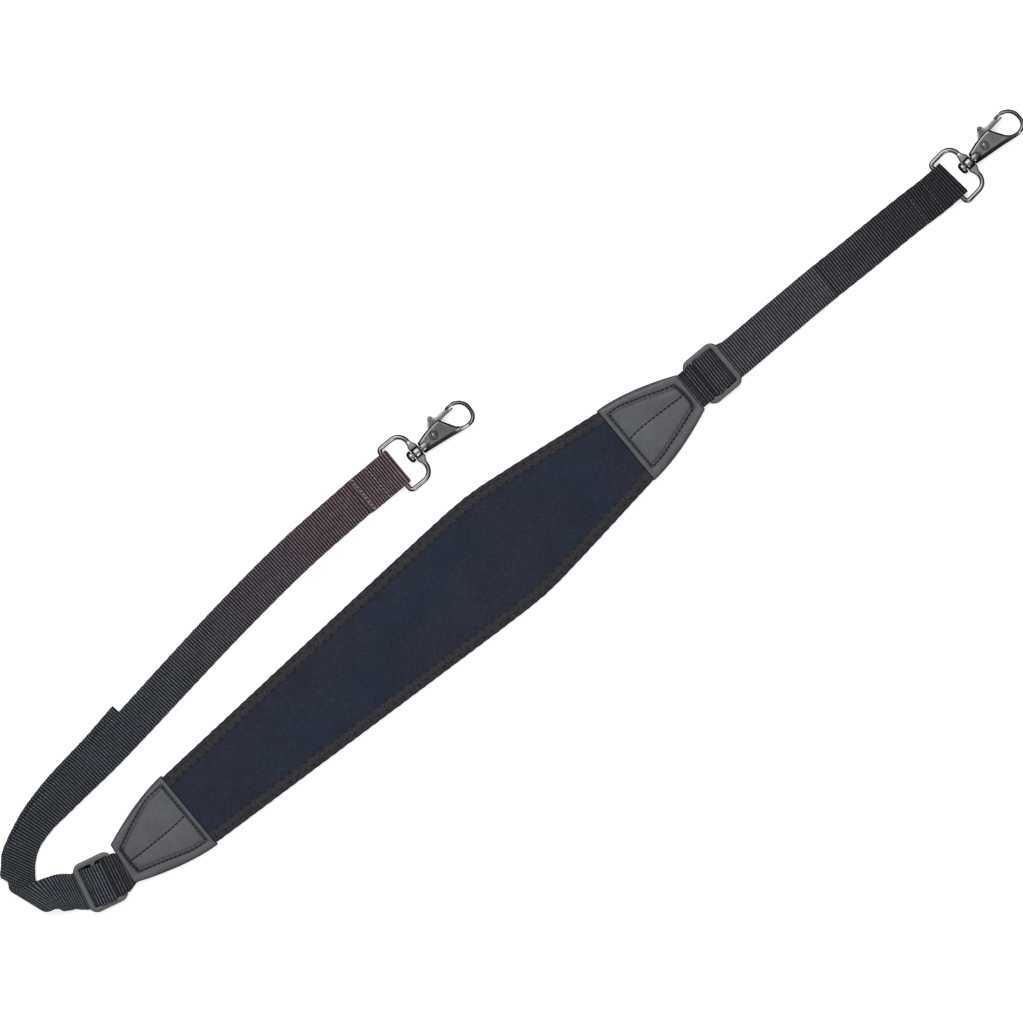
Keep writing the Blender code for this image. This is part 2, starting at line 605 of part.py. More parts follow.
def main():
    clear_scene()
    foam = material("neoprene_foam", (0.028, 0.030, 0.038), 0.9)
    knit = material("knit_skin", (0.030, 0.034, 0.052), 0.85)
    tape = material("edge_binding", (0.032, 0.032, 0.033), 0.9)
    leather = material("leather", (0.10, 0.11, 0.12), 0.55)
    web = material("webbing", (0.060, 0.062, 0.068), 0.85)
    plastic = material("adjuster_plastic", (0.13, 0.13, 0.135), 0.45)
    metal = material("gunmetal", (0.20, 0.20, 0.21), 0.25, 1.0)
    steel = material("spring_steel", (0.35, 0.35, 0.36), 0.3, 1.0)

    build_pad(foam, knit, tape)
    build_tab("left", LEFT_TAB_BASE, LEFT_TAB_TIP, leather)
    build_tab("right", RIGHT_TAB_BASE, RIGHT_TAB_TIP, leather)

    left_plan = straight_plan(*LEFT_SLIDER)
    build_tab_loop("left", left_plan, LEFT_MOUTH, web)
    left_tilt = joint_empty("left_slider_axis", (*LEFT_SLIDER[0], NEAR_BAR_Z), LEFT_SLIDER[1])
    left_pieces = [build_slider("left", *LEFT_SLIDER, plastic)]
    left_pieces.append(strip("left_bar_wrap", centre_wrap(), left_plan, WEB_THICK, web))
    attach(left_pieces + build_left_webbing(left_plan, web), left_tilt)
    sewn_plan = straight_plan(LEFT_FOLD - Vector((SEWN_LENGTH, 0)), 0.0)
    hook_fold("left", SEWN_LENGTH, sewn_plan, web)

    right_slider_plan = straight_plan(*RIGHT_SLIDER)
    build_tab_loop("right", right_slider_plan, WEB_WIDTH, web)
    right_tilt = joint_empty("right_slider_axis", (*RIGHT_SLIDER[0], NEAR_BAR_Z), RIGHT_SLIDER[1])
    right_plan, lengths, samples = curved_plan(RIGHT_ROUTE)
    right_pieces = [build_slider("right", *RIGHT_SLIDER, plastic)]
    right_pieces.append(strip("right_bar_wrap", centre_wrap(), right_slider_plan, WEB_THICK, web))
    attach(right_pieces + build_right_webbing(right_plan, lengths, samples, web), right_tilt)
    hook_fold("right", float(np.interp(RIGHT_FOLD_X, samples[:, 0], lengths)), right_plan, web)

    build_hook("left", *LEFT_HOOK, metal, steel)
    build_hook("right", *RIGHT_HOOK, metal, steel)


main()
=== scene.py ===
"""Looks of a padded two-hook saxophone neck strap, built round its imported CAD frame.

Lengths in this file are millimetres in the frame of the CAD part, and MM turns them into metres. The pad
lies along x with its back on the floor. The right arm runs on along +x. The left arm rolls over, turns under
itself and comes back beside the pad.
"""

import math

import bmesh
import bpy
import numpy as np
from mathutils import Matrix, Vector
from mathutils.geometry import delaunay_2d_cdt


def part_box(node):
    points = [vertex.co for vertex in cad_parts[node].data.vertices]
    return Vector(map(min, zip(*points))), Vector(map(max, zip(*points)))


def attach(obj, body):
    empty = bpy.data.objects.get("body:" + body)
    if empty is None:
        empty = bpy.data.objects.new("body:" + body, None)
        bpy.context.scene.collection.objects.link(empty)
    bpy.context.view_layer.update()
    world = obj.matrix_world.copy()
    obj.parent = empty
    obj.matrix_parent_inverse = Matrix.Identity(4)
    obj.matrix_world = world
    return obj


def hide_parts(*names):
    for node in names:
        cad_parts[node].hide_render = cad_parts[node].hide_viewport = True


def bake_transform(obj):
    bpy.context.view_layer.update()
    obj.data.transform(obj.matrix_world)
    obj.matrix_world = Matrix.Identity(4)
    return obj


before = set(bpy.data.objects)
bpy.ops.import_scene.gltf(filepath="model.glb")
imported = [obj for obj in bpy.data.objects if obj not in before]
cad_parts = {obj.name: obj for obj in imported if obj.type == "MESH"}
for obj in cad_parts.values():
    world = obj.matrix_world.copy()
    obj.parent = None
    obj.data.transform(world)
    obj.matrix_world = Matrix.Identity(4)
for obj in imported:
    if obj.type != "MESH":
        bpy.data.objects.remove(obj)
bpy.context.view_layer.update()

MM = 0.001
TAU = 2 * math.pi
helpers = []  # cutters that settle() deletes once they are used
lengths = {}  # flat length of each webbing strip

# ---------------------------------------------------------------- camera, light and floor

VIEW_MIDDLE = (96.0, 14.3)
VIEW_RIGHT = Vector((0.7697, -0.6384, 0.0))
VIEW_UP = Vector((0.6384, 0.7697, 0.0))
VIEW_HEIGHT = 640.0
CAMERA_DISTANCE = 6.0
SENSOR = 36.0
FLOOR_HALF, FLOOR_DROP = 40.0, 0.0004
SKY_GLOW = ((0.45, 0.08), (0.72, 0.30), (0.88, 0.72))


def add_camera():
    data = bpy.data.cameras.new("Camera")
    data.sensor_width = SENSOR
    data.lens = SENSOR * CAMERA_DISTANCE / (VIEW_HEIGHT * MM)
    data.clip_start, data.clip_end = 0.5, 100.0
    camera = bpy.data.objects.new("Camera", data)
    rows = [(VIEW_RIGHT[i], VIEW_UP[i], 0.0, VIEW_MIDDLE[i] * MM) for i in (0, 1)]
    camera.matrix_world = Matrix((*rows, (0.0, 0.0, 1.0, CAMERA_DISTANCE), (0.0, 0.0, 0.0, 1.0)))
    bpy.context.scene.collection.objects.link(camera)
    bpy.context.scene.camera = camera


def add_area_light(name, place, target, size, power):
    data = bpy.data.lights.new(name, "AREA")
    data.shape = "SQUARE"
    data.size = size
    data.energy = power
    light = bpy.data.objects.new(name, data)
    light.location = place
    light.rotation_mode = "QUATERNION"
    light.rotation_quaternion = (Vector(target) - Vector(place)).to_track_quat("-Z", "Y")
    light.visible_camera = False
    bpy.context.scene.collection.objects.link(light)


def add_world():
    """Studio surround: bright overhead, dim towards and below the horizon."""
    world = bpy.data.worlds.new("Studio")
    bpy.context.scene.world = world
    world.use_nodes = True
    tree = world.node_tree
    tree.nodes.clear()
    coords = tree.nodes.new("ShaderNodeTexCoord")
    split = tree.nodes.new("ShaderNodeSeparateXYZ")
    ramp = tree.nodes.new("ShaderNodeValToRGB")
    background = tree.nodes.new("ShaderNodeBackground")
    output = tree.nodes.new("ShaderNodeOutputWorld")
    elements = ramp.color_ramp.elements
    elements[0].position, elements[0].color = 0.0, (0.02, 0.02, 0.021, 1.0)
    elements[1].position, elements[1].color = 0.97, (0.95, 0.95, 0.96, 1.0)
    for height, glow in SKY_GLOW:
        elements.new(height).color = (glow, glow, glow * 1.01, 1.0)
    tree.links.new(coords.outputs["Generated"], split.inputs[0])
    tree.links.new(split.outputs["Z"], ramp.inputs["Fac"])
    tree.links.new(ramp.outputs["Color"], background.inputs["Color"])
    tree.links.new(background.outputs[0], output.inputs[0])
    background.inputs["Strength"].default_value = 1.0


def add_floor():
    mesh = bpy.data.meshes.new("floor")
    corners = [(x * FLOOR_HALF, y * FLOOR_HALF, 0) for x, y in ((-1, -1), (1, -1), (1, 1), (-1, 1))]
    mesh.from_pydata(corners, [], [(0, 1, 2, 3)])
    floor = bpy.data.objects.new("floor", mesh)
    floor.location.z = -FLOOR_DROP
    bpy.context.scene.collection.objects.link(floor)
    surface = bpy.data.materials.new("pale_floor")
    surface.use_nodes = True
    sockets = surface.node_tree.nodes["Principled BSDF"].inputs
    sockets["Base Color"].default_value = (0.80, 0.80, 0.80, 1.0)
    sockets["Roughness"].default_value = 1.0
    sockets["Specular IOR Level"].default_value = 0.0
    sockets["Emission Color"].default_value = (1.0, 1.0, 1.0, 1.0)
    sockets["Emission Strength"].default_value = 0.55
    mesh.materials.append(surface)
    floor.visible_glossy = False


# ---------------------------------------------------------------- material helpers


class Nodes:
    """A material's node tree with short calls for the few nodes used here."""

    SOCKETS = {
        "colour": "Base Color",
        "roughness": "Roughness",
        "metallic": "Metallic",
        "specular": "Specular IOR Level",
        "sheen": "Sheen Weight",
    }

    def __init__(self, name):
        self.material = bpy.data.materials.new(name)
        self.material.use_nodes = True
        self.tree = self.material.node_tree
        self.shader = self.tree.nodes["Principled BSDF"]

    def put(self, value, socket):
        if isinstance(value, bpy.types.NodeSocket):
            self.tree.links.new(value, socket)
        else:
            socket.default_value = value

    def node(self, kind, values=(), **settings):
        """New node of the kind, with its settings, and with values on its first inputs."""
        node = self.tree.nodes.new("ShaderNode" + kind)
        for key, value in settings.items():
            setattr(node, key, value)
        for value, socket in zip(values, node.inputs):
            self.put(value, socket)
        return node

    def math(self, kind, a, b=0.0, c=0.0, clamp=False):
        return self.node("Math", (a, b, c), operation=kind, use_clamp=clamp).outputs[0]

    def times(self, first, *others, clamp=False):
        for other in others:
            first = self.math("MULTIPLY", first, other, clamp=clamp)
        return first

    def plus(self, a, b):
        return self.math("ADD", a, b)

    def level(self, value, gain, base):
        return self.math("MULTIPLY_ADD", value, gain, base)

    def wave(self, turns):
        """0 to 1 and back once a turn."""
        return self.level(self.math("COSINE", self.times(turns, TAU)), 0.5, 0.5)

    def attribute(self, name, output="Vector"):
        return self.node("Attribute", attribute_name=name).outputs[output]

    def split(self, vector):
        return self.node("SeparateXYZ", (vector,)).outputs

    def join(self, x, y):
        return self.node("CombineXYZ", (x, y)).outputs[0]

    def place(self):
        return self.node("TexCoord").outputs["Object"]

    def noise(self, vector, scale, detail=3.0, rough=0.55):
        node = self.node("TexNoise")
        for key, value in (("Vector", vector), ("Scale", scale), ("Detail", detail), ("Roughness", rough)):
            self.put(value, node.inputs[key])
        return node.outputs["Fac"]

    def cells(self, vector, scale, feature):
        node = self.node("TexVoronoi", feature=feature)
        self.put(vector, node.inputs["Vector"])
        self.put(scale, node.inputs["Scale"])
        return node.outputs["Distance"]

    def span(self, value, low, high, to_low=0.0, to_high=1.0, smooth=False):
        kind = "SMOOTHSTEP" if smooth else "LINEAR"
        return self.node("MapRange", (value, low, high, to_low, to_high), interpolation_type=kind).outputs[0]

    def vary(self, noise, low, high):
        """A noise's usual range spread from low to high."""
        return self.span(noise, 0.3, 0.7, low, high)

    def mix(self, share, a, b):
        node = self.node("Mix", data_type="RGBA")
        self.put(share, node.inputs[0])
        for value, socket in ((a, node.inputs[6]), (b, node.inputs[7])):
            self.put(value if isinstance(value, bpy.types.NodeSocket) else (*value, 1.0), socket)
        return node.outputs[2]

    def scale(self, colour, factor):
        node = self.node("VectorMath", (colour,), operation="SCALE")
        self.put(factor, node.inputs["Scale"])
        return node.outputs[0]

    def bump(self, height, depth_mm, strength):
        node = self.node("Bump")
        for key, value in (("Strength", strength), ("Distance", depth_mm * MM), ("Height", height)):
            self.put(value, node.inputs[key])
        self.tree.links.new(node.outputs[0], self.shader.inputs["Normal"])

    def finish(self, **values):
        for key, value in values.items():
            self.put(value, self.shader.inputs[self.SOCKETS[key]])
        return self.material


RIB_PITCH = 1.85
YARN_PITCH = 1.35


def webbing_material(name, base, tinted=None, tint_span=None, dim_span=None):
    """Ribbed nylon: each rib is a row of yarn dots, offset by half from rib to rib, with painted shade in the
    valleys between ribs.

    Attribute strip holds the distance along the webbing and across it, and pit puts painted shade on the
    stitch rows and the sealed cut ends.
    """
    n = Nodes(name)
    along, across, _ = n.split(n.attribute("strip"))
    pit = n.attribute("pit", "Fac")
    turns = n.math("DIVIDE", along, RIB_PITCH)
    ridge = n.wave(turns)
    row = n.math("ROUND", turns)
    dots = n.plus(n.math("DIVIDE", across, YARN_PITCH), n.times(row, 0.5))
    dot = n.wave(dots)
    uneven = n.noise(n.join(row, n.math("ROUND", dots)), 0.83, 1.0)
    drift = n.noise(n.join(n.times(along, 0.045), n.times(across, 0.09)), 1.0, 2.0)
    fuzz = n.noise(n.join(along, across), 3.2, 3.0)
    # painted shade: the valleys between the ribs are darkened far below the ridges
    light = n.times(n.level(n.math("POWER", ridge, 1.25), 1.75, 0.03), n.level(dot, 0.95, 0.4))
    light = n.times(light, n.vary(uneven, 0.72, 1.28), n.vary(drift, 0.86, 1.14))
    # pit: painted shade on the stitch rows and at the cut ends
    light = n.times(light, n.span(fuzz, 0.25, 0.75, 0.8, 1.2), n.span(pit, 0.0, 1.0, 1.0, 0.22))
    if dim_span:
        light = n.times(light, n.span(along, *dim_span, 1.0, 0.62, smooth=True))
    colour = n.mix(0.0, base, base)
    if tinted:
        patchy = n.noise(n.join(n.times(along, 0.03), n.times(across, 0.03)), 1.0, 1.0)
        share = n.times(n.span(along, *tint_span, smooth=True), n.vary(patchy, 0.82, 1.1), clamp=True)
        colour = n.mix(share, base, tinted)
    n.bump(n.times(ridge, n.level(dot, 0.7, n.times(fuzz, 0.35))), 0.22, 0.8)
    rough = n.span(fuzz, 0.2, 0.8, 0.62, 0.85)
    return n.finish(colour=n.scale(colour, light), roughness=rough, specular=0.1, sheen=0.03)


def pad_material():
    """Knitted skin over foam: fine courses of stitches, faint blotches and a soft sheen."""
    n = Nodes("pad_knit")
    place = n.place()
    x, y, _ = n.split(place)
    wale = n.level(n.math("COSINE", n.times(y, TAU / 0.00078)), 0.5, 0.5)
    zig = n.times(n.math("SINE", n.times(y, TAU / 0.00156)), 0.9)
    course = n.math("COSINE", n.plus(n.times(x, TAU / 0.0007), zig))
    knit = n.times(wale, n.level(course, 0.5, 0.5))
    blotch = n.noise(place, 38.0, 4.0, 0.6)
    pile = n.noise(place, 1500.0, 3.0, 0.7)
    nap = n.noise(place, 560.0, 3.0, 0.6)
    warm = n.noise(place, 17.0, 2.0)
    light = n.times(n.vary(blotch, 0.9, 1.12), n.vary(pile, 0.78, 1.22), n.vary(nap, 0.80, 1.20))
    light = n.times(light, n.level(knit, 0.3, 0.85))
    colour = n.mix(n.span(warm, 0.35, 0.65), (0.0192, 0.0265, 0.0455), (0.0236, 0.0270, 0.0425))
    n.bump(n.level(knit, 0.7, n.times(pile, 0.5)), 0.10, 0.7)
    return n.finish(colour=n.scale(colour, light), roughness=0.93, specular=0.12, sheen=0.06)


def tape_material():
    """Woven edge tape, with painted shade in the needle holes, where it turns under and along its inner hem.
    """
    n = Nodes("edge_tape")
    along, across, shade = n.split(n.attribute("strip"))
    pit = n.attribute("pit", "Fac")
    warp = n.math("COSINE", n.times(across, TAU / 0.62))
    weft = n.math("COSINE", n.times(along, TAU / 0.74))
    weave = n.level(n.times(warp, weft), 0.5, 0.5)
    flat = n.join(along, across)
    fuzz = n.noise(flat, 1.6, 4.0, 0.65)
    blotch = n.noise(flat, 0.13, 3.0)
    clump = n.noise(flat, 0.55, 2.0)
    light = n.times(n.level(weave, 0.45, 0.75), n.span(fuzz, 0.25, 0.75, 0.6, 1.4))
    light = n.times(light, n.vary(clump, 0.74, 1.26), n.vary(blotch, 0.85, 1.15))
    # painted shade: pit darkens the needle holes, and shade darkens the fold, the underside and the hem
    light = n.times(light, n.span(pit, 0.0, 1.0, 1.0, 0.12), n.span(shade, 0.0, 1.0, 0.5, 1.0))
    colour = n.mix(n.vary(blotch, 0.0, 1.0), (0.037, 0.033, 0.040), (0.031, 0.032, 0.040))
    n.bump(n.level(weave, 0.6, fuzz), 0.14, 0.8)
    return n.finish(colour=n.scale(colour, light), roughness=0.9, specular=0.15, sheen=0.05)


def leather_material(name, base, pale):
    """Smooth grey leather: pebbled grain, pores, a paler painted highlight on the raised parts and painted
    shade in the grooves, along the rim and at the base.
    """
    n = Nodes(name)
    place = n.place()
    raised_highlight, pit = n.attribute("wear", "Fac"), n.attribute("pit", "Fac")
    grain = n.cells(place, 1150.0, "SMOOTH_F1")
    crease = n.cells(place, 420.0, "DISTANCE_TO_EDGE")
    mottle = n.noise(place, 95.0, 4.0, 0.6)
    fine = n.noise(place, 900.0, 3.0, 0.6)
    light = n.times(n.vary(mottle, 0.84, 1.16), n.vary(fine, 0.88, 1.12))
    # pit: painted shade in the seams and creases, along the rim and at the tab's base
    light = n.times(light, n.span(crease, 0.0, 0.12, 0.88, 1.0), n.span(pit, 0.0, 1.0, 1.0, 0.16))
    height = n.plus(n.times(grain, 0.7), n.times(n.span(crease, 0.0, 0.1), 0.35))
    n.bump(n.plus(height, n.times(mottle, 0.5)), 0.12, 0.55)
    rough = n.plus(n.span(fine, 0.2, 0.8, 0.40, 0.56), n.times(raised_highlight, -0.06))
    # painted highlight: the raised parts are mixed towards the paler colour
    return n.finish(colour=n.scale(n.mix(raised_highlight, base, pale), light), roughness=rough, specular=0.42)


def thread_material(name, colour, strand=0.55):
    """Twisted sewing thread. Attribute strip holds the distance along the thread and round it."""
    n = Nodes(name)
    along, around, _ = n.split(n.attribute("strip"))
    ply = n.math("COSINE", n.level(along, TAU / strand, around))
    fuzz = n.noise(n.join(along, around), 4.0, 2.0)
    light = n.times(n.level(ply, 0.22, 0.95), n.span(fuzz, 0.2, 0.8, 0.75, 1.25))
    n.bump(ply, 0.08, 0.8)
    colour = n.scale(n.mix(0.0, colour, colour), light)
    return n.finish(colour=colour, roughness=0.6, specular=0.3, sheen=0.04)


def plastic_material():
    """Moulded acetal: satin, finely eroded skin, faint flow marks and scuffed high edges."""
    n = Nodes("moulded_plastic")
    place = n.place()
    skin = n.noise(place, 2600.0, 3.0, 0.6)
    flow = n.noise(place, 120.0, 4.0, 0.6)
    scuffs = n.noise(place, 520.0, 5.0, 0.7)
    scuff = n.times(n.span(scuffs, 0.48, 0.66), n.attribute("wear", "Fac"), clamp=True)
    colour = n.scale(n.mix(scuff, (0.068, 0.070, 0.072), (0.17, 0.17, 0.17)), n.vary(flow, 0.88, 1.12))
    n.bump(n.plus(skin, n.times(flow, 0.6)), 0.05, 0.5)
    return n.finish(colour=colour, roughness=n.vary(flow, 0.26, 0.40), specular=0.55)


def metal_material(name, colour, worn_colour, rough):
    """Black-nickel plated casting: smoky, slightly orange-peeled, rubbed paler on the high edges."""
    n = Nodes(name)
    place = n.place()
    peel = n.noise(place, 330.0, 2.0, 0.5)
    pits = n.noise(place, 1900.0, 2.0, 0.6)
    smoke = n.noise(place, 70.0, 4.0, 0.6)
    rub = n.times(n.attribute("wear", "Fac"), n.span(smoke, 0.35, 0.65, 0.3, 1.0), clamp=True)
    tone = n.scale(n.mix(rub, colour, worn_colour), n.vary(smoke, 0.85, 1.15))
    n.bump(n.level(pits, 0.25, peel), 0.05, 0.35)
    return n.finish(colour=tone, roughness=n.vary(smoke, *rough), metallic=1.0)


# ---------------------------------------------------------------- mesh helpers


def runs_along(line):
    """How far along a polyline each of its points is."""
    return np.concatenate([[0], np.cumsum(np.linalg.norm(np.diff(line, axis=0), axis=1))])


def unit(rows):
    return rows / np.linalg.norm(rows, axis=1)[:, None]


def sampled(at, run, line):
    """Points of a polyline at the given distances along it."""
    return np.stack([np.interp(at, run, column) for column in line.T], -1)


def new_piece(name, points, faces, material, **attributes):
    """Mesh object from millimetre points, faced outwards. Attributes have a number or three per point."""
    mesh = bpy.data.meshes.new(name)
    mesh.from_pydata((np.asarray(points, float).reshape(-1, 3) * MM).tolist(), [], faces)
    for key, values in attributes.items():
        values = np.asarray(values, np.float32)
        vector = values.ndim == 2
        layer = mesh.attributes.new(key, "FLOAT_VECTOR" if vector else "FLOAT", "POINT")
        layer.data.foreach_set("vector" if vector else "value", values.ravel())
    mesh.materials.append(material)
    mesh.shade_smooth()
    mesh.validate()
    shaped = bmesh.new()
    shaped.from_mesh(mesh)
    bmesh.ops.recalc_face_normals(shaped, faces=shaped.faces)
    shaped.to_mesh(mesh)
    shaped.free()
    piece = bpy.data.objects.new(name, mesh)
    bpy.context.scene.collection.objects.link(piece)
    return piece


def quads(rows, columns, closed_rows=False, closed_columns=False, flip=False):
    """Faces of a grid of points stored row by row."""
    i = np.arange(rows if closed_rows else rows - 1)[:, None]
    j = np.arange(columns if closed_columns else columns - 1)[None, :]
    k, m = (i + 1) % rows, (j + 1) % columns
    found = np.stack([i * columns + j, i * columns + m, k * columns + m, k * columns + j], -1).reshape(-1, 4)
    return (found[:, ::-1] if flip else found).tolist()


def capped(rows, columns, first=0, flip=False):
    """Faces of a closed tube of rings stored row by row, with a cap on each end."""
    faces = quads(rows, columns, closed_columns=True, flip=flip)
    faces += [list(range(columns)), [(rows - 1) * columns + i for i in reversed(range(columns))]]
    return [[corner + first for corner in face] for face in faces]


def tube_points(path, radius, sides, closed=False):
    """Rings of a round wire along 3-D points, carried without twist."""
    path = np.asarray(path, float)
    radius = np.broadcast_to(radius, len(path))
    ahead = np.roll(path, -1, axis=0) - np.roll(path, 1, axis=0) if closed else np.gradient(path, axis=0)
    ahead = unit(ahead)
    side = np.array((0.0, 0.0, 1.0))
    angles = np.linspace(0, TAU, sides, endpoint=False)
    rings = []
    for point, way, r in zip(path, ahead, radius):
        side = side - way * (side @ way)
        side /= np.linalg.norm(side)
        other = np.cross(way, side)
        rings.append(point + r * (np.cos(angles)[:, None] * side + np.sin(angles)[:, None] * other))
    return np.array(rings)


def threads(name, paths, radius, material, body, sides=7):
    """Many short threads in one piece. Each dips and tapers at both ends, as a stitch does."""
    points, faces, strip = [], [], []
    turn = np.linspace(0, TAU, sides, endpoint=False)
    for path in paths:
        count = len(path)
        ends = np.minimum(np.arange(count), np.arange(count)[::-1])
        size = radius * np.where(ends == 0, 0.45, np.where(ends == 1, 0.85, 1.0))
        faces += capped(count, sides, len(points) * count * sides, flip=True)
        points.append(tube_points(path, size, sides).reshape(-1, 3))
        s, a = np.meshgrid(runs_along(path), turn, indexing="ij")
        strip.append(np.stack([s, a, 0 * s], -1).reshape(-1, 3))
    piece = new_piece(name, np.concatenate(points), faces, material, strip=np.concatenate(strip))
    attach(piece, body)


def shell(name, top, bottom, material, **attributes):
    """Closed piece between two grids of points with the same rows and columns."""
    rows, columns = top.shape[:2]
    count = rows * columns
    faces = quads(rows, columns)
    faces += [[a + count for a in face] for face in quads(rows, columns, flip=True)]
    rim = list(range(columns))
    rim += [i * columns + columns - 1 for i in range(1, rows)]
    rim += [(rows - 1) * columns + j for j in range(columns - 2, -1, -1)]
    rim += [i * columns for i in range(rows - 2, 0, -1)]
    for a, b in zip(rim, rim[1:] + rim[:1]):
        faces.append([b, a, a + count, b + count])
    doubled = {}
    for key, values in attributes.items():
        values = np.asarray(values, float)
        flat = values.reshape(count, *values.shape[2:])
        doubled[key] = np.concatenate([flat, flat])
    return new_piece(name, np.stack([top, bottom]), faces, material, **doubled)


def nearest_on(points, line):
    """Distance from each (x, y) point to a polyline, and how far along the line its nearest point is."""
    best, along = np.full(points.shape[:-1], 1e9), np.zeros(points.shape[:-1])
    line = np.asarray(line, float)
    run = 0.0
    for a, b in zip(line[:-1], line[1:]):
        d = b - a
        t = np.clip(((points - a) @ d) / (d @ d), 0, 1)
        away = np.linalg.norm(points - a - t[..., None] * d, axis=-1)
        size = np.linalg.norm(d)
        along = np.where(away < best, run + t * size, along)
        best = np.minimum(best, away)
        run += size
    return best, along


def distance_to(points, line):
    return nearest_on(points, line)[0]


def rounded_line(points, steps=8):
    """Smooth curve through the points (Catmull-Rom)."""
    p = np.asarray(points, float)
    p = np.vstack([2 * p[0] - p[1], p, 2 * p[-1] - p[-2]])
    out = []
    for a, b, c, d in zip(p, p[1:], p[2:], p[3:]):
        for t in np.arange(steps) / steps:
            bends = (2 * a - 5 * b + 4 * c - d) * t**2 + (3 * b - a - 3 * c + d) * t**3
            out.append(0.5 * (2 * b + (c - a) * t + bends))
    return np.array(out + [p[-2]])


def lumps(points, size, seed):
    """Smooth pseudo-random waves of about the given size, from -1 to 1."""
    waves = np.random.default_rng(seed)
    total = np.zeros(points.shape[:-1])
    for _ in range(7):
        way = waves.normal(size=2)
        way *= TAU / size * waves.uniform(0.6, 1.5) / np.linalg.norm(way)
        total += np.cos(points[..., 0] * way[0] + points[..., 1] * way[1] + waves.uniform(0, TAU))
    return total / 7


# ---------------------------------------------------------------- pad

PAD_LEFT, PAD_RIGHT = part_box("pad_face")[0].x / MM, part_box("pad_face")[1].x / MM
PAD_PEAK, PEAK_ROUNDING, EDGE_ENDS = 81.0, 15.0, (-178.0, 177.5)
UPPER_EDGE = (26.0, 41.3, 28.0)
LOWER_EDGE = (-27.0, -40.3, -27.0)
PAD_STEP, TAPE_STEP = 1.5, 0.85
OUTER_HOLES, INNER_HOLES, ZIGZAG = 2.9, 6.9, 6.3
TAPE_WALL, THREAD_R = 0.45, 0.27


def pad_edge(x, edge):
    left, peak, right = edge
    rise = (peak - left) / (PAD_PEAK - EDGE_ENDS[0])
    fall = (peak - right) / (EDGE_ENDS[1] - PAD_PEAK)
    d = np.asarray(x, float) - PAD_PEAK
    return peak + (rise - fall) / 2 * d - (rise + fall) / 2 * np.hypot(d, PEAK_ROUNDING)


def build_pad(knit):
    """Foam slab in its knitted skin: thin under the edge tape, crowned between, tucked under both tabs."""
    x = np.arange(PAD_LEFT - PAD_STEP, PAD_RIGHT + PAD_STEP + 0.1, PAD_STEP)
    near = np.array([0.9, 1.2, 2.0, 3.2, 4.6, 6.0, 7.2, 7.9, 8.5, 9.2, 10.2, 11.5, 13.5, 16.0])
    low, high = pad_edge(x, LOWER_EDGE), pad_edge(x, UPPER_EDGE)
    inner = np.linspace(0, 1, 13)[1:-1]
    across = []
    for yl, yh in zip(low, high):
        between = yl + 16.0 + inner * (yh - yl - 32.0)
        across.append(np.concatenate([yl + near, between, (yh - near)[::-1]]))
    y = np.array(across)
    x = np.broadcast_to(x[:, None], y.shape)
    plane = np.stack([x, y], -1)
    inside = np.minimum(y - low[:, None], high[:, None] - y)
    ends = np.minimum(x - PAD_LEFT, PAD_RIGHT - x)
    tucked = np.clip(ends / 5.0, 0, 1)
    tucked = tucked * tucked * (3 - 2 * tucked)
    crown = 0.95 * (1 - np.exp(-np.maximum(inside - 7.6, 0) / 4.5))
    middle = 0.25 * np.clip(inside / 38.0, 0, 1)
    top = 3.75 + (crown + middle) * (0.25 + 0.75 * tucked) + 0.10 * lumps(plane, 34.0, 3) * tucked
    top -= 1.3 * np.clip(1 - inside / 2.4, 0, 1) ** 2
    bottom = 0.45 + 0.9 * np.clip(1 - inside / 2.6, 0, 1) ** 2 - 0.35 * np.clip((inside - 8.0) / 2.0, 0, 1)
    piece = shell("pad_cushion", np.dstack([x, y, top]), np.dstack([x, y, bottom]), knit)
    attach(piece, "pad")
    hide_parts("pad_core", "pad_face", "pad_backing")


def hole_rows(edge, inward):
    """Needle holes of the zig-zag seam: the outer and the inner row, as (x, y)."""
    outer_x = np.arange(PAD_LEFT + 3.0, PAD_RIGHT - 2.0, ZIGZAG)
    inner_x = outer_x[:-1] + ZIGZAG / 2
    wobble = np.random.default_rng(11 if inward < 0 else 12)
    rows = []
    for xs, reach in ((outer_x, OUTER_HOLES), (inner_x, INNER_HOLES)):
        xs = xs + wobble.normal(0, 0.25, len(xs))
        ys = pad_edge(xs, edge) + inward * (reach + wobble.normal(0, 0.15, len(xs)))
        rows.append(np.stack([xs, ys], -1))
    return rows


def tape_height(inside):
    """Top of the tape by its distance in from the edge: rounded fold, puffed band, step at the hem."""
    return np.interp(
        inside,
        [0.0, 0.12, 0.4, 0.9, 1.6, 2.9, 4.9, 6.9, 7.6, 7.9],
        [2.2, 2.8, 3.45, 3.95, 4.25, 4.22, 4.48, 4.32, 4.42, 4.2],
    )


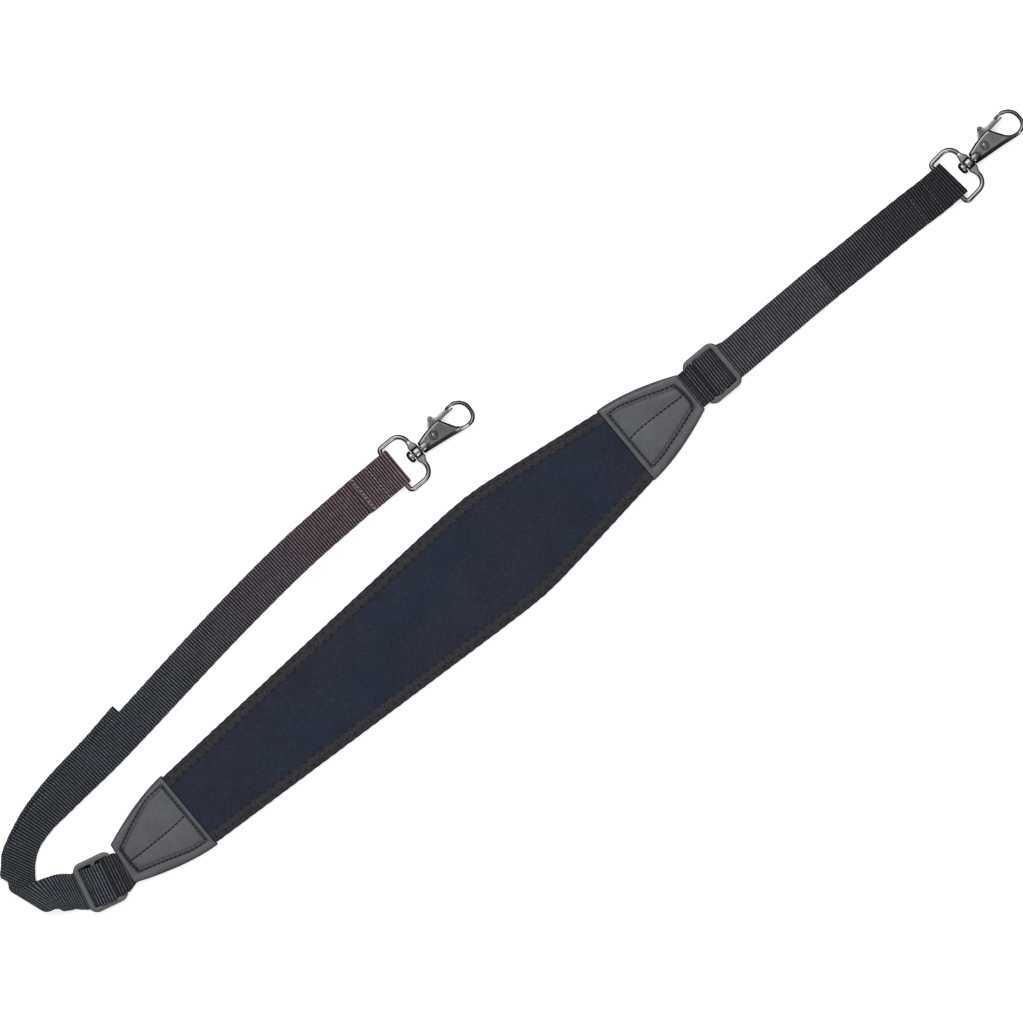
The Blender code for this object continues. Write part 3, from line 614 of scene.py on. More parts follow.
def build_tape(side, edge, inward, tape, thread):
    x = np.arange(PAD_LEFT, PAD_RIGHT + 0.4, TAPE_STEP)
    inside = np.array([7.9, 7.6, 7.2, 6.8, 6.2, 5.5, 4.8, 4.1, 3.5, 2.9, 2.3, 1.7, 1.2, 0.8, 0.4, 0.12, 0.0])
    edge_y = pad_edge(x, edge)
    ripple = 0.10 * np.cos(TAU * x / ZIGZAG) + 0.12 * lumps(np.stack([x, 0 * x], -1), 9.0, 5)
    outer = np.stack(np.broadcast_arrays(x[:, None], edge_y[:, None] + inward * inside), -1)
    outer[..., 1] += inward * ripple[:, None] * np.clip(1 - inside / 3.0, 0, 1)
    holes = hole_rows(edge, inward)
    pit = np.zeros(outer.shape[:2])
    for row in holes:
        gap = np.abs(x[:, None] - row[None, :, 0]).argmin(1)
        away = (outer - row[gap][:, None, :]) / np.array([0.95, 0.75])
        pit = np.maximum(pit, np.exp(-(away**2).sum(-1)))
    # hem: painted shade along the tape's inner edge, where it steps down onto the pad
    hem = np.clip((inside[None, :] - 7.2) / 0.7, 0, 1) * (0.5 + 0.5 * lumps(outer, 5.0, 21))
    top = tape_height(inside)[None, :] + 0.07 * lumps(outer, 3.2, 8) - 0.6 * pit
    under = np.interp(inside, [0.0, 0.12, 0.4, 0.9, 1.6, 7.9], [2.2, 1.5, 0.85, 0.35, 0.12, 0.1])
    under = np.broadcast_to(under[None, :], top.shape)
    inner = outer.copy()
    inner[..., 1] += inward * TAPE_WALL * np.clip(1 - inside / 2.0, 0, 1)
    lining = under + TAPE_WALL
    # the section runs over the top to the fold, back under the pad, then round the inner faces
    section = [np.dstack([outer, top])[:, :-1], np.dstack([outer, under])[:, ::-1]]
    section += [np.dstack([inner, lining])[:, :-1]]
    section += [np.dstack([inner, np.maximum(top - TAPE_WALL, lining + 0.1)])[:, ::-1]]
    section = np.concatenate(section, axis=1)
    rows, columns = section.shape[:2]
    spread = np.concatenate([inside[:-1], -inside[::-1], -inside[:-1], inside[::-1]])
    shade = np.broadcast_to(np.clip(np.abs(spread) / 1.3, 0.12, 1), (rows, columns)).copy()
    shade[:, : len(inside) - 1] *= 1 - 0.6 * hem[:, :-1]
    # painted shade in the needle holes, fainter on the inner face
    pits = np.zeros((rows, columns))
    pits[:, : 2 * len(inside) - 1] = np.hstack([pit[:, :-1], pit[:, ::-1] * 0.7])
    strip = np.dstack([*np.broadcast_arrays(x[:, None], spread[None, :]), shade])
    faces = capped(rows, columns)
    piece = new_piece(f"{side}_edge_tape", section, faces, tape, strip=strip.reshape(-1, 3), pit=pits.ravel())
    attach(piece, "pad")
    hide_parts(f"{side}_binding")
    paths = []
    line = np.empty((len(holes[0]) + len(holes[1]), 2))
    line[0::2], line[1::2] = holes
    share = np.array([0.04, 0.14, 0.32, 0.5, 0.68, 0.86, 0.96])
    lift = np.array([-0.55, -0.12, 0.12, 0.16, 0.12, -0.12, -0.55])
    for a, b in zip(line[:-1], line[1:]):
        flat = a + (b - a) * share[:, None]
        reach = np.abs(flat[:, 1] - pad_edge(flat[:, 0], edge))
        paths.append(np.column_stack([flat, tape_height(reach) + lift]))
    threads(f"{side}_zigzag_thread", paths, THREAD_R, thread, "pad", sides=6)


# ---------------------------------------------------------------- leather tabs

LEFT_TAB = (((-177.6, 27.3), (-177.6, -28.3)), ((-229.5, 14.2), (-233.5, -13.5)))
RIGHT_TAB = (((177.1, 28.9), (177.1, -27.4)), ((230.0, 14.4), (230.0, -13.4)))
TAB_TAPER = 1.6
LEFT_SEAMS = {
    "base": [(-181.6, 22.4), (-181.6, 10.0), (-181.5, -5.0), (-181.6, -22.0)],
    "upper": [(-182.0, 22.5), (-190.0, 22.2), (-197.0, 21.0), (-212.0, 15.2), (-226.2, 8.7)],
    "lower": [(-182.0, -22.2), (-190.0, -21.4), (-197.0, -19.6), (-212.0, -14.6), (-226.2, -10.2)],
    "tip": [(-226.4, 8.6), (-226.9, 3.0), (-227.0, -4.0), (-226.6, -10.0)],
    "centre": [(-182.2, -1.4), (-195.0, -2.2), (-212.0, -2.2), (-226.0, -1.6)],
}
RIGHT_SEAMS = {
    "base": [(181.5, 22.6), (181.4, 10.0), (181.4, -5.0), (181.6, -20.2)],
    "upper": [(182.0, 23.0), (190.0, 22.2), (198.0, 19.6), (206.0, 17.0), (216.0, 13.2), (224.4, 10.6)],
    "lower": [(182.0, -20.4), (190.0, -19.2), (198.0, -17.0), (208.0, -14.0), (217.0, -11.0), (224.4, -8.6)],
    "tip": [(224.7, 10.2), (225.6, 4.0), (226.0, -3.0), (224.8, -8.2)],
    "centre": [(182.0, 2.2), (190.0, 3.1), (203.0, 2.9), (218.0, 2.2), (224.4, 1.9)],
}
LEATHER, TAB_TOP, TAB_MIDDLE_Z = 1.15, 4.95, 1.75
TAB_STEPS, TAB_CROWDING = 130, 0.12
STITCH_PITCH, STITCH, STITCH_R = 2.95, 2.15, 0.36


def bell(distance, width, power=2):
    return np.exp(-((distance / width) ** power))


def tab_grid(base, tip):
    """Points over a tab, closer together near its two tapering edges, and those edges."""
    t = np.linspace(0, 1, TAB_STEPS)
    edges = []
    for (x0, y0), (x1, y1) in zip(base, tip):
        edges.append(np.column_stack([x0 + (x1 - x0) * t, y0 + (y1 - y0) * t**TAB_TAPER]))
    upper, lower = edges
    turn = math.pi * (TAB_CROWDING + (1 - 2 * TAB_CROWDING) * t)
    q = 0.5 - 0.5 * np.cos(turn) / math.cos(math.pi * TAB_CROWDING)
    return lower[:, None] + (upper - lower)[:, None] * q[None, :, None], upper, lower


def build_tab(side, outline, seams, leather, thread):
    base, tip = outline
    plane, upper, lower = tab_grid(base, tip)
    edge = np.minimum(distance_to(plane, upper), distance_to(plane, lower))
    base_gap = distance_to(plane, np.array(base))
    tip_gap = distance_to(plane, np.array(tip))
    lines = {key: rounded_line(points) for key, points in seams.items()}
    outer_seam = np.min([distance_to(plane, lines[k]) for k in ("base", "upper", "lower", "tip")], axis=0)
    tip_seam = distance_to(plane, lines["tip"])
    centre_seam = distance_to(plane, lines["centre"])
    ring = np.vstack([lines["upper"], lines["tip"], lines["lower"][::-1], lines["base"][::-1]])
    middle = ring.mean(0)
    angle = np.arctan2(*(ring - middle).T[::-1])
    order = np.argsort(angle)
    reach = np.interp(
        np.arctan2(plane[..., 1] - middle[1], plane[..., 0] - middle[0]),
        angle[order],
        np.linalg.norm(ring - middle, axis=1)[order],
        period=TAU,
    )
    inside = 1 / (1 + np.exp((np.linalg.norm(plane - middle, axis=-1) - reach) / 0.5))
    side_seam, rung = np.full(inside.shape, 1e9), np.zeros(inside.shape)
    for key in ("upper", "lower"):
        away, along = nearest_on(plane, lines[key])
        rung = np.where(away < side_seam, along, rung)
        side_seam = np.minimum(side_seam, away)
    rungs = bell(side_seam - 1.0, 0.7) * inside * (0.5 + 0.5 * np.cos(TAU * rung / 3.6)) ** 2
    rim = np.minimum(np.minimum(edge, base_gap * 1.4), tip_gap * 1.4)
    roll = 1 - np.clip(1 - rim / 1.7, 0, 1) ** 2
    border = 0.32 * bell(rim - 2.4, 1.7)
    grooves = 0.62 * bell(outer_seam, 0.7) + 0.5 * bell(centre_seam, 0.7) * inside
    grooves += 0.35 * bell(tip_seam, 1.1)
    crease = bell(side_seam - 2.0, 0.5) * inside
    seam_y = np.interp(plane[..., 0], *lines["centre"][np.argsort(lines["centre"][:, 0])].T)
    ridge = bell(plane[..., 1] - seam_y - 1.0, 0.5) * inside
    puff = 0.55 * inside * (1 - np.exp(-np.minimum(outer_seam, centre_seam) / 3.2))
    drop = np.clip(1 - edge / 4.2, 0, 1) ** 2 * np.clip(base_gap / 9.0, 0, 1)
    drop *= np.clip((tip_gap - 9.0) / 10.0, 0, 1)
    top = TAB_TOP + border + puff - grooves - 0.34 * crease - 0.2 * rungs + 0.16 * ridge
    top += 0.10 * lumps(plane, 17.0, 31) * (0.4 + inside)
    top -= 1.75 * drop + 0.75 * (1 - roll)
    bottom = np.minimum(np.maximum(top - LEATHER, TAB_MIDDLE_Z), top - 0.25)
    # painted highlight: paler on the rolled border, the puffed halves and the ridge, none in grooves and
    # creases
    raised_highlight = np.clip(border * 2.0 + puff * 0.6 - grooves * 1.6 + 0.8 * ridge - crease, 0, 1)
    # painted shade in the stitch grooves, the side creases, the rungs and the tip seam
    seam_shade = np.clip(0.9 * bell(outer_seam, 0.55) + 0.75 * bell(centre_seam, 0.5) * inside, 0, 1)
    seam_shade = np.clip(seam_shade + 0.95 * crease + 0.8 * rungs + 0.8 * bell(tip_seam, 0.9), 0, 1)
    # painted shade along the rolled rim and a painted shadow at the tab's base
    rim_and_base_shade = np.maximum(bell(rim, 0.5) * 0.75, bell(base_gap, 0.75, 4))
    faces_of = np.dstack([plane, top]), np.dstack([plane, bottom])
    pit = np.maximum(seam_shade * 0.75, rim_and_base_shade)
    front = shell(f"{side}_tab_leather", *faces_of, leather, wear=raised_highlight, pit=pit)
    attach(front, "pad")
    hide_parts(f"{side}_tab_front")
    back_low = 0.02 + 0.35 * (1 - roll)
    back_top = np.minimum(1.25 + 0.45 * drop, bottom - 0.08)
    faces_of = np.dstack([plane, back_top]), np.dstack([plane, np.minimum(back_low, back_top - 0.3)])
    back = shell(f"{side}_tab_lining", *faces_of, leather, wear=0 * raised_highlight, pit=rim_and_base_shade)
    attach(back, "pad")
    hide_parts(f"{side}_tab_back")
    surface = np.dstack([plane, top]).reshape(-1, 3)
    lift = np.array([-0.25, 0.1, 0.28, 0.32, 0.28, 0.1, -0.25])
    paths = []
    for line in lines.values():
        run = runs_along(line)
        count = max(1, round(run[-1] / STITCH_PITCH))
        for start in (np.arange(count) + 0.13) * run[-1] / count:
            at = start + np.array([0.0, 0.10, 0.3, 0.5, 0.7, 0.9, 1.0]) * STITCH
            xy = sampled(at, run, line)
            near = np.array([surface[((surface[:, :2] - p) ** 2).sum(1).argmin(), 2] for p in xy[[1, 3, 5]]])
            paths.append(np.column_stack([xy, np.interp(at, at[[1, 3, 5]], near) + lift]))
    threads(f"{side}_tab_stitching", paths, STITCH_R, thread, "pad")


# ---------------------------------------------------------------- webbing

WEB_WIDTH = 24.9
WEB_HALF_THICK = 0.83
LOOP_HALF_THICK = 0.62
RUN_Z, LAYER = 0.75, 1.7
NEAR_BAR_Z, NEAR_BAR_R = 3.4, 1.7
CENTRE_BAR_U, CENTRE_BAR_R = 11.3, 1.5
LOOP_SLACK, WRAP_NEAR_U, TAIL_START_U = 2.1, 6.2, 22.4
SLIDER_TILT = math.radians(4.5)
HOOK_Z, WIRE_R = 4.0, 1.5
LEFT_SLIDER = ((-238.0, -2.6), math.radians(166.0))
RIGHT_SLIDER = ((236.2, 0.9), 0.0)
SEWN = 28.5
LEFT_CLIMB = [(-266.8, 20.0, 4.2, -271.2, -2.4, 3.2), (-277.8, 24.2, 8.2, -278.0, 2.2, 7.9)]
LEFT_LEAN = [(-295.2, 41.8, 3.0, -284.2, 20.0, 2.7), (-289.9, 47.0, 7.2, -281.0, 26.2, 2.7)]
FOLD_MIDDLE, FOLD_HEADING = np.array([-289.8, 21.0, 5.65]), math.radians(109)
FOLD_RADIUS, FOLD_DRIFT = 3.2, 5.4
LEFT_ROUTE = [
    (-284.0, 51.6, -275.7, 32.6, 2.5),
    (-272.4, 56.8, -266.6, 40.2, 2.45),
    (-257.4, 62.2, -253.6, 44.4, 2.5),
    (-237.0, 66.6, -235.0, 46.2, 2.5),
    (-195.5, 71.4, -193.6, 49.4, 2.5),
    (-172.0, 74.6, -169.6, 52.2, 1.6),
    (-130.0, 80.6, -127.2, 57.6, 0.9),
    (-77.0, 87.4, -75.0, 63.8, 0.75),
    (-25.0, 92.2, -24.0, 68.3, 0.75),
    (27.6, 94.0, 27.6, 70.0, 0.75),
]
CAD_WIDTH = 24.6
LEFT_TAIL_ROWS, LEFT_TAIL_DRIFT = (15.0, 21.0), 5.2
LEFT_FOLD = (57.1, 81.8)
RIGHT_ROUTE = [(236.2, 0.2), (262, -0.4), (300, -0.1), (335, 0.1), (360, -0.4), (410, -1.0)]
RIGHT_ROUTE += [(425, -1.6), (439, -1.2), (452, 0.5)]
RIGHT_FOLD_X, RIGHT_TAIL_END = 439.0, 340.0
LEFT_FOLD_SEAMS, RIGHT_FOLD_SEAMS = (3.2, 15.0), (411.9, 424.6)  # back from the end, and along x
RUN_STEP, FOLD_STEPS, FOLD_LIFT, FOLD_THREAD_R = 1.5, 9, 0.62, 0.42


def smooth_route(rows, spacing):
    """Rows of numbers joined by a smooth curve. Returns samples and their places among the rows."""
    rows = np.array(rows, float)
    middle = (rows[:, :3] + rows[:, 3:]) / 2 if rows.shape[1] == 6 else rows
    spans = np.linalg.norm(np.diff(middle, axis=0), axis=1)
    slopes = np.diff(rows, axis=0) / spans[:, None]
    tangents = np.vstack([slopes[:1], slopes[1:], slopes[-1:]])
    before, after = spans[:-1, None], spans[1:, None]
    tangents[1:-1] = (slopes[:-1] * after + slopes[1:] * before) / (before + after)
    samples, places = [], []
    for i, span in enumerate(spans):
        steps = max(1, math.ceil(span / spacing))
        for t in np.arange(steps) / steps:
            samples.append(
                (2 * t**3 - 3 * t**2 + 1) * rows[i]
                + (t**3 - 2 * t**2 + t) * span * tangents[i]
                + (3 * t**2 - 2 * t**3) * rows[i + 1]
                + (t**3 - t**2) * span * tangents[i + 1]
            )
            places.append(i + t)
    return np.array(samples + [rows[-1]]), np.array(places + [len(rows) - 1.0])


def arc(centre, radius, start, end, steps):
    a = np.radians(np.linspace(start, end, steps + 1))
    return np.column_stack([centre[0] + radius * np.cos(a), centre[1] + radius * np.sin(a)]).tolist()


def straight(place, angle):
    """Plan of a straight stretch: a function from distances along it to places and headings."""
    way = np.array([math.cos(angle), math.sin(angle)])
    return lambda u: (np.array(place) + np.outer(u, way), np.full(len(u), angle))


def curved(route):
    """Plan of a curved stretch, with its samples and how far along they are."""
    samples, _ = smooth_route(route, 1.0)
    run = runs_along(samples)
    heading = np.unwrap(np.arctan2(*np.gradient(samples, axis=0).T[::-1]))

    def plan(u):
        u = np.asarray(u, float)
        place = sampled(u, run, samples)
        for past, end in ((np.maximum(u - run[-1], 0), heading[-1]), (np.minimum(u, 0), heading[0])):
            place = place + past[:, None] * np.array([math.cos(end), math.sin(end)])
        return place, np.interp(u, run, heading)

    return plan, run, samples


def laid(profile, plan, shift=None, scale=None):
    """(u, z) profile points put in the world: centres and across vectors.

    shift and scale are functions of u and z: a sideways offset, and the width as a share of the usual one.
    """
    profile = rounded_line(profile, 6)
    place, angle = plan(profile[:, 0])
    across = np.column_stack([-np.sin(angle), np.cos(angle), np.zeros(len(angle))])
    centres = np.column_stack([place, profile[:, 1]])
    if shift:
        centres += across * shift(*profile.T)[:, None]
    if scale:
        across *= scale(*profile.T)[:, None]
    return centres, across


def webbing(name, centres, across, material, half=WEB_HALF_THICK, seams=(), sealed=(True, True)):
    """Ribbed webbing along a line of centres, pulled in at each seam and heat-sealed at its cut ends, with
    painted shade on both.
    """
    run = runs_along(centres)
    keep = np.concatenate([[True], np.diff(run) > 1e-6])
    run, centres, across = run[keep], centres[keep], across[keep]
    s = np.linspace(0, run[-1], int(run[-1] / RIB_PITCH * 6) + 1)
    middle, side = sampled(s, run, centres), sampled(s, run, across)
    scale = np.linalg.norm(side, axis=1)
    side = unit(side)
    up = unit(np.cross(side, np.gradient(middle, axis=0)))
    v = np.array([0.12, 0.35, 0.6, 0.8, 0.92, 0.975, 1.0])
    selvedge = np.array([1.0, 1.0, 1.0, 1.04, 1.0, 0.72, 0.36])
    v, selvedge = np.concatenate([-v[::-1], v]), np.concatenate([selvedge[::-1], selvedge])
    ridge = np.abs(np.cos(math.pi * s / RIB_PITCH)) ** 0.9
    seam, sealed_end = np.zeros(len(s)), np.zeros(len(s))
    for place in seams:
        seam = np.maximum(seam, bell(s - place, 0.75))
    for wanted, away in zip(sealed, (s, run[-1] - s)):
        if wanted:
            sealed_end = np.maximum(sealed_end, bell(away, 0.7))
    thick = half * (0.66 + 0.34 * ridge) * (1 - 0.3 * seam) * (1 - 0.35 * sealed_end)
    wide = WEB_WIDTH / 2 * scale + 0.26 * (ridge - 0.6) + 0.08 * np.cos(s * 0.9) - 0.15 * sealed_end
    flat = middle[:, None] + side[:, None] * (wide[:, None] * v)[..., None]
    cup = 0.05 * np.cos(s / 9.0)[:, None] * (v**2 - 0.4)
    upper = flat + up[:, None] * (thick[:, None] * selvedge + cup)[..., None]
    lower = flat - up[:, None] * (thick[:, None] * selvedge - cup)[..., None]
    points = np.concatenate([upper, lower[:, ::-1]], axis=1)
    spread = np.concatenate([v, v[::-1]]) * WEB_WIDTH / 2
    strip = np.dstack([*np.broadcast_arrays(s[:, None], spread[None, :]), np.zeros(points.shape[:2])])
    # painted shade: darkening on the stitch rows and a darker band at each sealed cut end
    pit = np.broadcast_to(np.maximum(seam * 0.55, sealed_end * 0.8)[:, None], points.shape[:2])
    faces = capped(*points.shape[:2])
    piece = new_piece(name, points, faces, material, strip=strip.reshape(-1, 3), pit=pit.ravel())
    return piece, float(run[-1])


def loop_profile():
    """From inside the tab, loosely round the near bar and back into the tab."""
    radius = NEAR_BAR_R + 0.85
    low, high = 2.05, 3.55
    profile = [(-12.5, low), (-9, low), (-5.2, low), (-3.6, low - 0.2), (-2.0, 1.25)]
    profile += [(-0.4, NEAR_BAR_Z - radius)]
    profile += arc((LOOP_SLACK, NEAR_BAR_Z), radius, -90, 90, 8)
    profile += [(-0.4, NEAR_BAR_Z + radius - 0.1), (-1.9, NEAR_BAR_Z + radius - 0.45), (-3.2, high + 0.85)]
    return profile + [(-4.6, high + 0.1), (-9, high), (-12.5, high)]


def wrap_profile():
    """Under the centre bar, up through the near window, in a wide arc over the bar and down the far one."""
    top = NEAR_BAR_Z + CENTRE_BAR_U * math.tan(SLIDER_TILT) + CENTRE_BAR_R + 1.2
    tail_z = RUN_Z + LAYER
    profile = [(CENTRE_BAR_U + 0.5, RUN_Z), (9.0, RUN_Z)]
    profile += arc((6.75, RUN_Z + 1.1), 1.1, 268, 178, 5)
    profile += [(WRAP_NEAR_U - 0.35, 3.4)] + arc((WRAP_NEAR_U + 1.9, top - 2.0), 2.0, 180, 90, 5)
    profile += [(CENTRE_BAR_U, top + 0.05), (14.2, top - 0.1), (16.4, top - 0.6), (18.0, top - 1.3)]
    profile += [(19.1, top - 2.3), (19.8, top - 3.3), (20.5, tail_z + 0.5), (21.3, tail_z + 0.1)]
    return profile + [(TAIL_START_U - 0.4, tail_z)]


def fold_profile(turn_u):
    start = turn_u - SEWN
    radius = WIRE_R + 0.3 + 0.7
    low, high = RUN_Z, RUN_Z + LAYER
    bottom, top = HOOK_Z - radius, HOOK_Z + radius
    lower = [(start, low), (start + 9, low), (turn_u - 7, low), (turn_u - 3.5, (low + bottom) / 2)]
    upper = [(turn_u - 3.5, top - 0.1), (turn_u - 7, top - 1.4), (turn_u - 11, high + 0.8)]
    upper += [(turn_u - 15, high), (start + 7, high), (start, high)]
    return lower, arc((turn_u, HOOK_Z), radius, -80, 80, 8), upper


def left_arm_line():
    """Centres, across and up vectors of the left arm from adjuster to sewn fold, and their rows."""
    plan = straight(*LEFT_SLIDER)
    rows = []
    for u in (CENTRE_BAR_U + 0.8, TAIL_START_U, 25.0):
        place, angle = plan(np.array([u]))
        half = np.array([math.sin(angle[0]), -math.cos(angle[0])]) * CAD_WIDTH / 2
        rows.append((*(place[0] + half), RUN_Z, *(place[0] - half), RUN_Z))
    rows += LEFT_CLIMB
    along = np.array([math.cos(FOLD_HEADING), math.sin(FOLD_HEADING), 0])
    outwards = np.array([-along[1], along[0], 0])
    for angle in np.linspace(-90, 75, FOLD_STEPS):
        turned = math.radians(angle)
        place = FOLD_MIDDLE + outwards * FOLD_RADIUS * (math.cos(turned) - 1)
        place = place + along * FOLD_DRIFT * angle / 90
        place = place - np.array([0, 0, FOLD_RADIUS * math.sin(turned)])
        rows.append((*(place + along * CAD_WIDTH / 2), *(place - along * CAD_WIDTH / 2)))
    rows += LEFT_LEAN
    for over_x, over_y, ground_x, ground_y, ground_z in LEFT_ROUTE:
        seen = math.hypot(over_x - ground_x, over_y - ground_y)
        rise = math.sqrt(max(CAD_WIDTH**2 - seen**2, 0))
        rows.append((over_x, over_y, ground_z + rise, ground_x, ground_y, ground_z))
    samples, places = smooth_route(rows, RUN_STEP)
    middle = (samples[:, :3] + samples[:, 3:]) / 2
    across = unit(samples[:, :3] - samples[:, 3:])
    up = unit(np.cross(across, np.gradient(middle, axis=0)))
    middle[:, 2] = np.maximum(middle[:, 2], RUN_Z)
    middle += across * np.interp(places, (0.0, 1.5), (0.5, 0.0))[:, None]
    across *= np.interp(places, (0.0, 1.2, 2.2), (1.06, 1.06, 1.0))[:, None]
    return middle, across, up, places


def stitch_rows(name, centres, across, rows, material, body, seed):
    """Rows of lock stitches across the webbing, standing on its upper face."""
    run = runs_along(centres)
    jitter = np.random.default_rng(seed)
    t = np.array([-0.95, -0.75, -0.35, 0.0, 0.35, 0.75, 0.95])
    rise = FOLD_LIFT + np.array([-0.7, -0.1, 0.22, 0.3, 0.22, -0.1, -0.7])
    paths = []
    for at in rows:
        middle, side = sampled(at, run, centres), sampled(at, run, across)
        way = sampled(at + 0.5, run, centres) - middle
        way /= np.linalg.norm(way)
        for k in np.arange(-4, 4.1):
            centre = k * 2.75 + jitter.normal(0, 0.12)
            skew = 0.35 * t + jitter.normal(0, 0.08)
            path = middle + np.outer(centre + t, side) + np.outer(skew, way)
            paths.append(path + np.outer(rise, (0, 0, 1)))
    threads(name, paths, FOLD_THREAD_R, material, body)


def build_loops(web):
    """The short webbing loops between tab and adjuster.

    Each has its width at the mouth and round the bar, and its sideways shift at the bottom and the top.
    """
    loops = (("left", LEFT_SLIDER, 0.79, 1.05, -0.5, 0.3), ("right", RIGHT_SLIDER, 1.04, 1.04, 0.1, 0.1))
    for side, slider, mouth, wide, low, high in loops:
        line = laid(
            loop_profile(),
            straight(*slider),
            lambda u, z: np.interp(u, (-4.0, 2.0), (0.0, 1.0)) * np.interp(z, (1.5, 4.0), (low, high)),
            lambda u, z: np.interp(u, (-9.0, -3.0), (mouth, wide)),
        )
        piece, length = webbing(f"{side}_tab_webbing", *line, web, half=LOOP_HALF_THICK)
        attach(piece, "pad")
        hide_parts(f"{side}_tab_loop")


def build_left_arm(web, thread):
    """Bar wrap, run round the curl and sewn fold are one strip, and the free tail lies on the curl."""
    plan = straight(*LEFT_SLIDER)
    wrap = laid(
        wrap_profile()[::-1],
        plan,
        lambda u, z: np.interp(z, (1.0, 2.6, 5.0, 6.8), (-0.5, 0.2, 0.4, 1.3)),
        lambda u, z: np.interp(z, (2.5, 5.0), (1.06, 1.02)),
    )
    middle, across, up, places = left_arm_line()
    lower, turn, upper = fold_profile(SEWN)
    fold = laid([(3.0, RUN_Z)] + lower[1:] + turn + upper, straight((LEFT_FOLD[0] - SEWN, LEFT_FOLD[1]), 0.0))
    centres = np.concatenate([wrap[0], middle, fold[0]])
    sides = np.concatenate([wrap[1], across, fold[1]])
    seams = [runs_along(centres)[-1] - back for back in LEFT_FOLD_SEAMS]
    arm, length = webbing("left_arm_webbing", centres, sides, web, seams=seams, sealed=(False, True))
    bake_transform(arm)
    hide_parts("left_bar_wrap", "left_run", "left_hook_fold")
    lengths["left arm"] = length
    stitch_rows("left_fold_stitching", centres, sides, seams, thread, "left_arm", 41)

    first, last = LEFT_TAIL_ROWS
    drift = LEFT_TAIL_DRIFT * np.clip((places - first) / (last - first), 0, 1)
    chosen = (places >= 1.0) & (places <= last)
    tail_line = (middle + up * LAYER + across * drift[:, None])[chosen]
    joint = laid([(TAIL_START_U - 0.6, RUN_Z + LAYER), (TAIL_START_U, RUN_Z + LAYER)], plan)
    centres = np.concatenate([joint[0][:-1], tail_line])
    sides = np.concatenate([joint[1][:-1], across[chosen]])
    tail, length = webbing("left_tail_webbing", centres, sides, web, sealed=(False, True))
    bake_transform(tail)
    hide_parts("left_tail")
    lengths["left tail"] = length


def build_right_arm(web, tail_web, thread):
    """As on the left, with the cut end of the sewn fold underneath, and the tail flat on the arm."""
    plan, along, samples = curved(RIGHT_ROUTE)
    turn_u = float(np.interp(RIGHT_FOLD_X, samples[:, 0], along))
    sewn = turn_u - SEWN
    slider_y = RIGHT_SLIDER[0][1] + 0.15

    def towards_slider(u, z):
        return (slider_y - plan(u)[0][:, 1]) * np.interp(z, (2.5, 5.0), (0.9, 1.0))

    def wrap_width(u, z):
        return np.interp(z, (2.5, 5.0), (1.06, 1.035))

    wrap = laid(wrap_profile()[::-1], plan, towards_slider, wrap_width)
    flat = [(u, RUN_Z) for u in np.linspace(CENTRE_BAR_U + 0.8, sewn - 12, 14)]
    rise = [(sewn - 8, RUN_Z + 0.25), (sewn - 4, RUN_Z + 0.9), (sewn - 1.0, RUN_Z + LAYER - 0.3)]
    lower, turn, upper = fold_profile(turn_u)
    body = laid(
        flat + rise + upper[::-1][1:] + turn[::-1] + lower[::-1],
        plan,
        lambda u, z: np.interp(u, (22.0, 30.0), (0.9, 0.0)),
        lambda u, z: np.interp(u, (22.0, 30.0), (1.07, 1.0)),
    )
    centres, sides = np.concatenate([wrap[0], body[0]]), np.concatenate([wrap[1], body[1]])
    arm, length = webbing("right_arm_webbing", centres, sides, web, sealed=(False, True))
    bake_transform(arm)
    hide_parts("right_bar_wrap", "right_run", "right_hook_fold")
    lengths["right arm"] = length
    run = runs_along(centres)
    upper_part = (centres[:, 0] > 405.0) & (run < run[centres[:, 0].argmax()])
    rows = [float(np.interp(x, centres[upper_part, 0], run[upper_part])) for x in RIGHT_FOLD_SEAMS]
    stitch_rows("right_fold_stitching", centres, sides, rows, thread, "right_arm", 42)
    tail_end = float(np.interp(RIGHT_TAIL_END, samples[:, 0], along))
    tail_line = laid([(u, RUN_Z + LAYER) for u in np.linspace(TAIL_START_U - 0.6, tail_end, 12)], plan)
    tail, length = webbing("right_tail_webbing", *tail_line, tail_web, sealed=(False, True))
    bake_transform(tail)
    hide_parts("right_tail")
    lengths["right tail"] = length


# ---------------------------------------------------------------- adjusters


def rounded_outline(left, right, half, radius, steps):
    turns = [(right - radius, half - radius, 0), (left + radius, half - radius, 90)]
    turns += [(left + radius, radius - half, 180), (right - radius, radius - half, 270)]
    return [point for x, y, start in turns for point in arc((x, y), radius, start, start + 90, steps)]


def prism(name, outline, bottom, top, material):
    """An (x, y) outline extruded in z, about the origin."""
    count = len(outline)
    points = [(x, y, z) for z in (bottom, top) for x, y in outline]
    faces = [[j, (j + 1) % count, (j + 1) % count + count, j + count] for j in range(count)]
    faces += [list(reversed(range(count))), list(range(count, 2 * count))]
    return new_piece(name, points, faces, material)


def carve(piece, cutter, operation="DIFFERENCE"):
    boolean = piece.modifiers.new("Carve", "BOOLEAN")
    boolean.operation = operation
    boolean.solver = "EXACT"
    boolean.object = cutter
    helpers.append(cutter)


def round_edges(piece, width, segments, angle):
    bevel = piece.modifiers.new("Round", "BEVEL")
    bevel.width = width * MM
    bevel.segments = segments
    bevel.limit_method = "ANGLE"
    bevel.angle_limit = math.radians(angle)


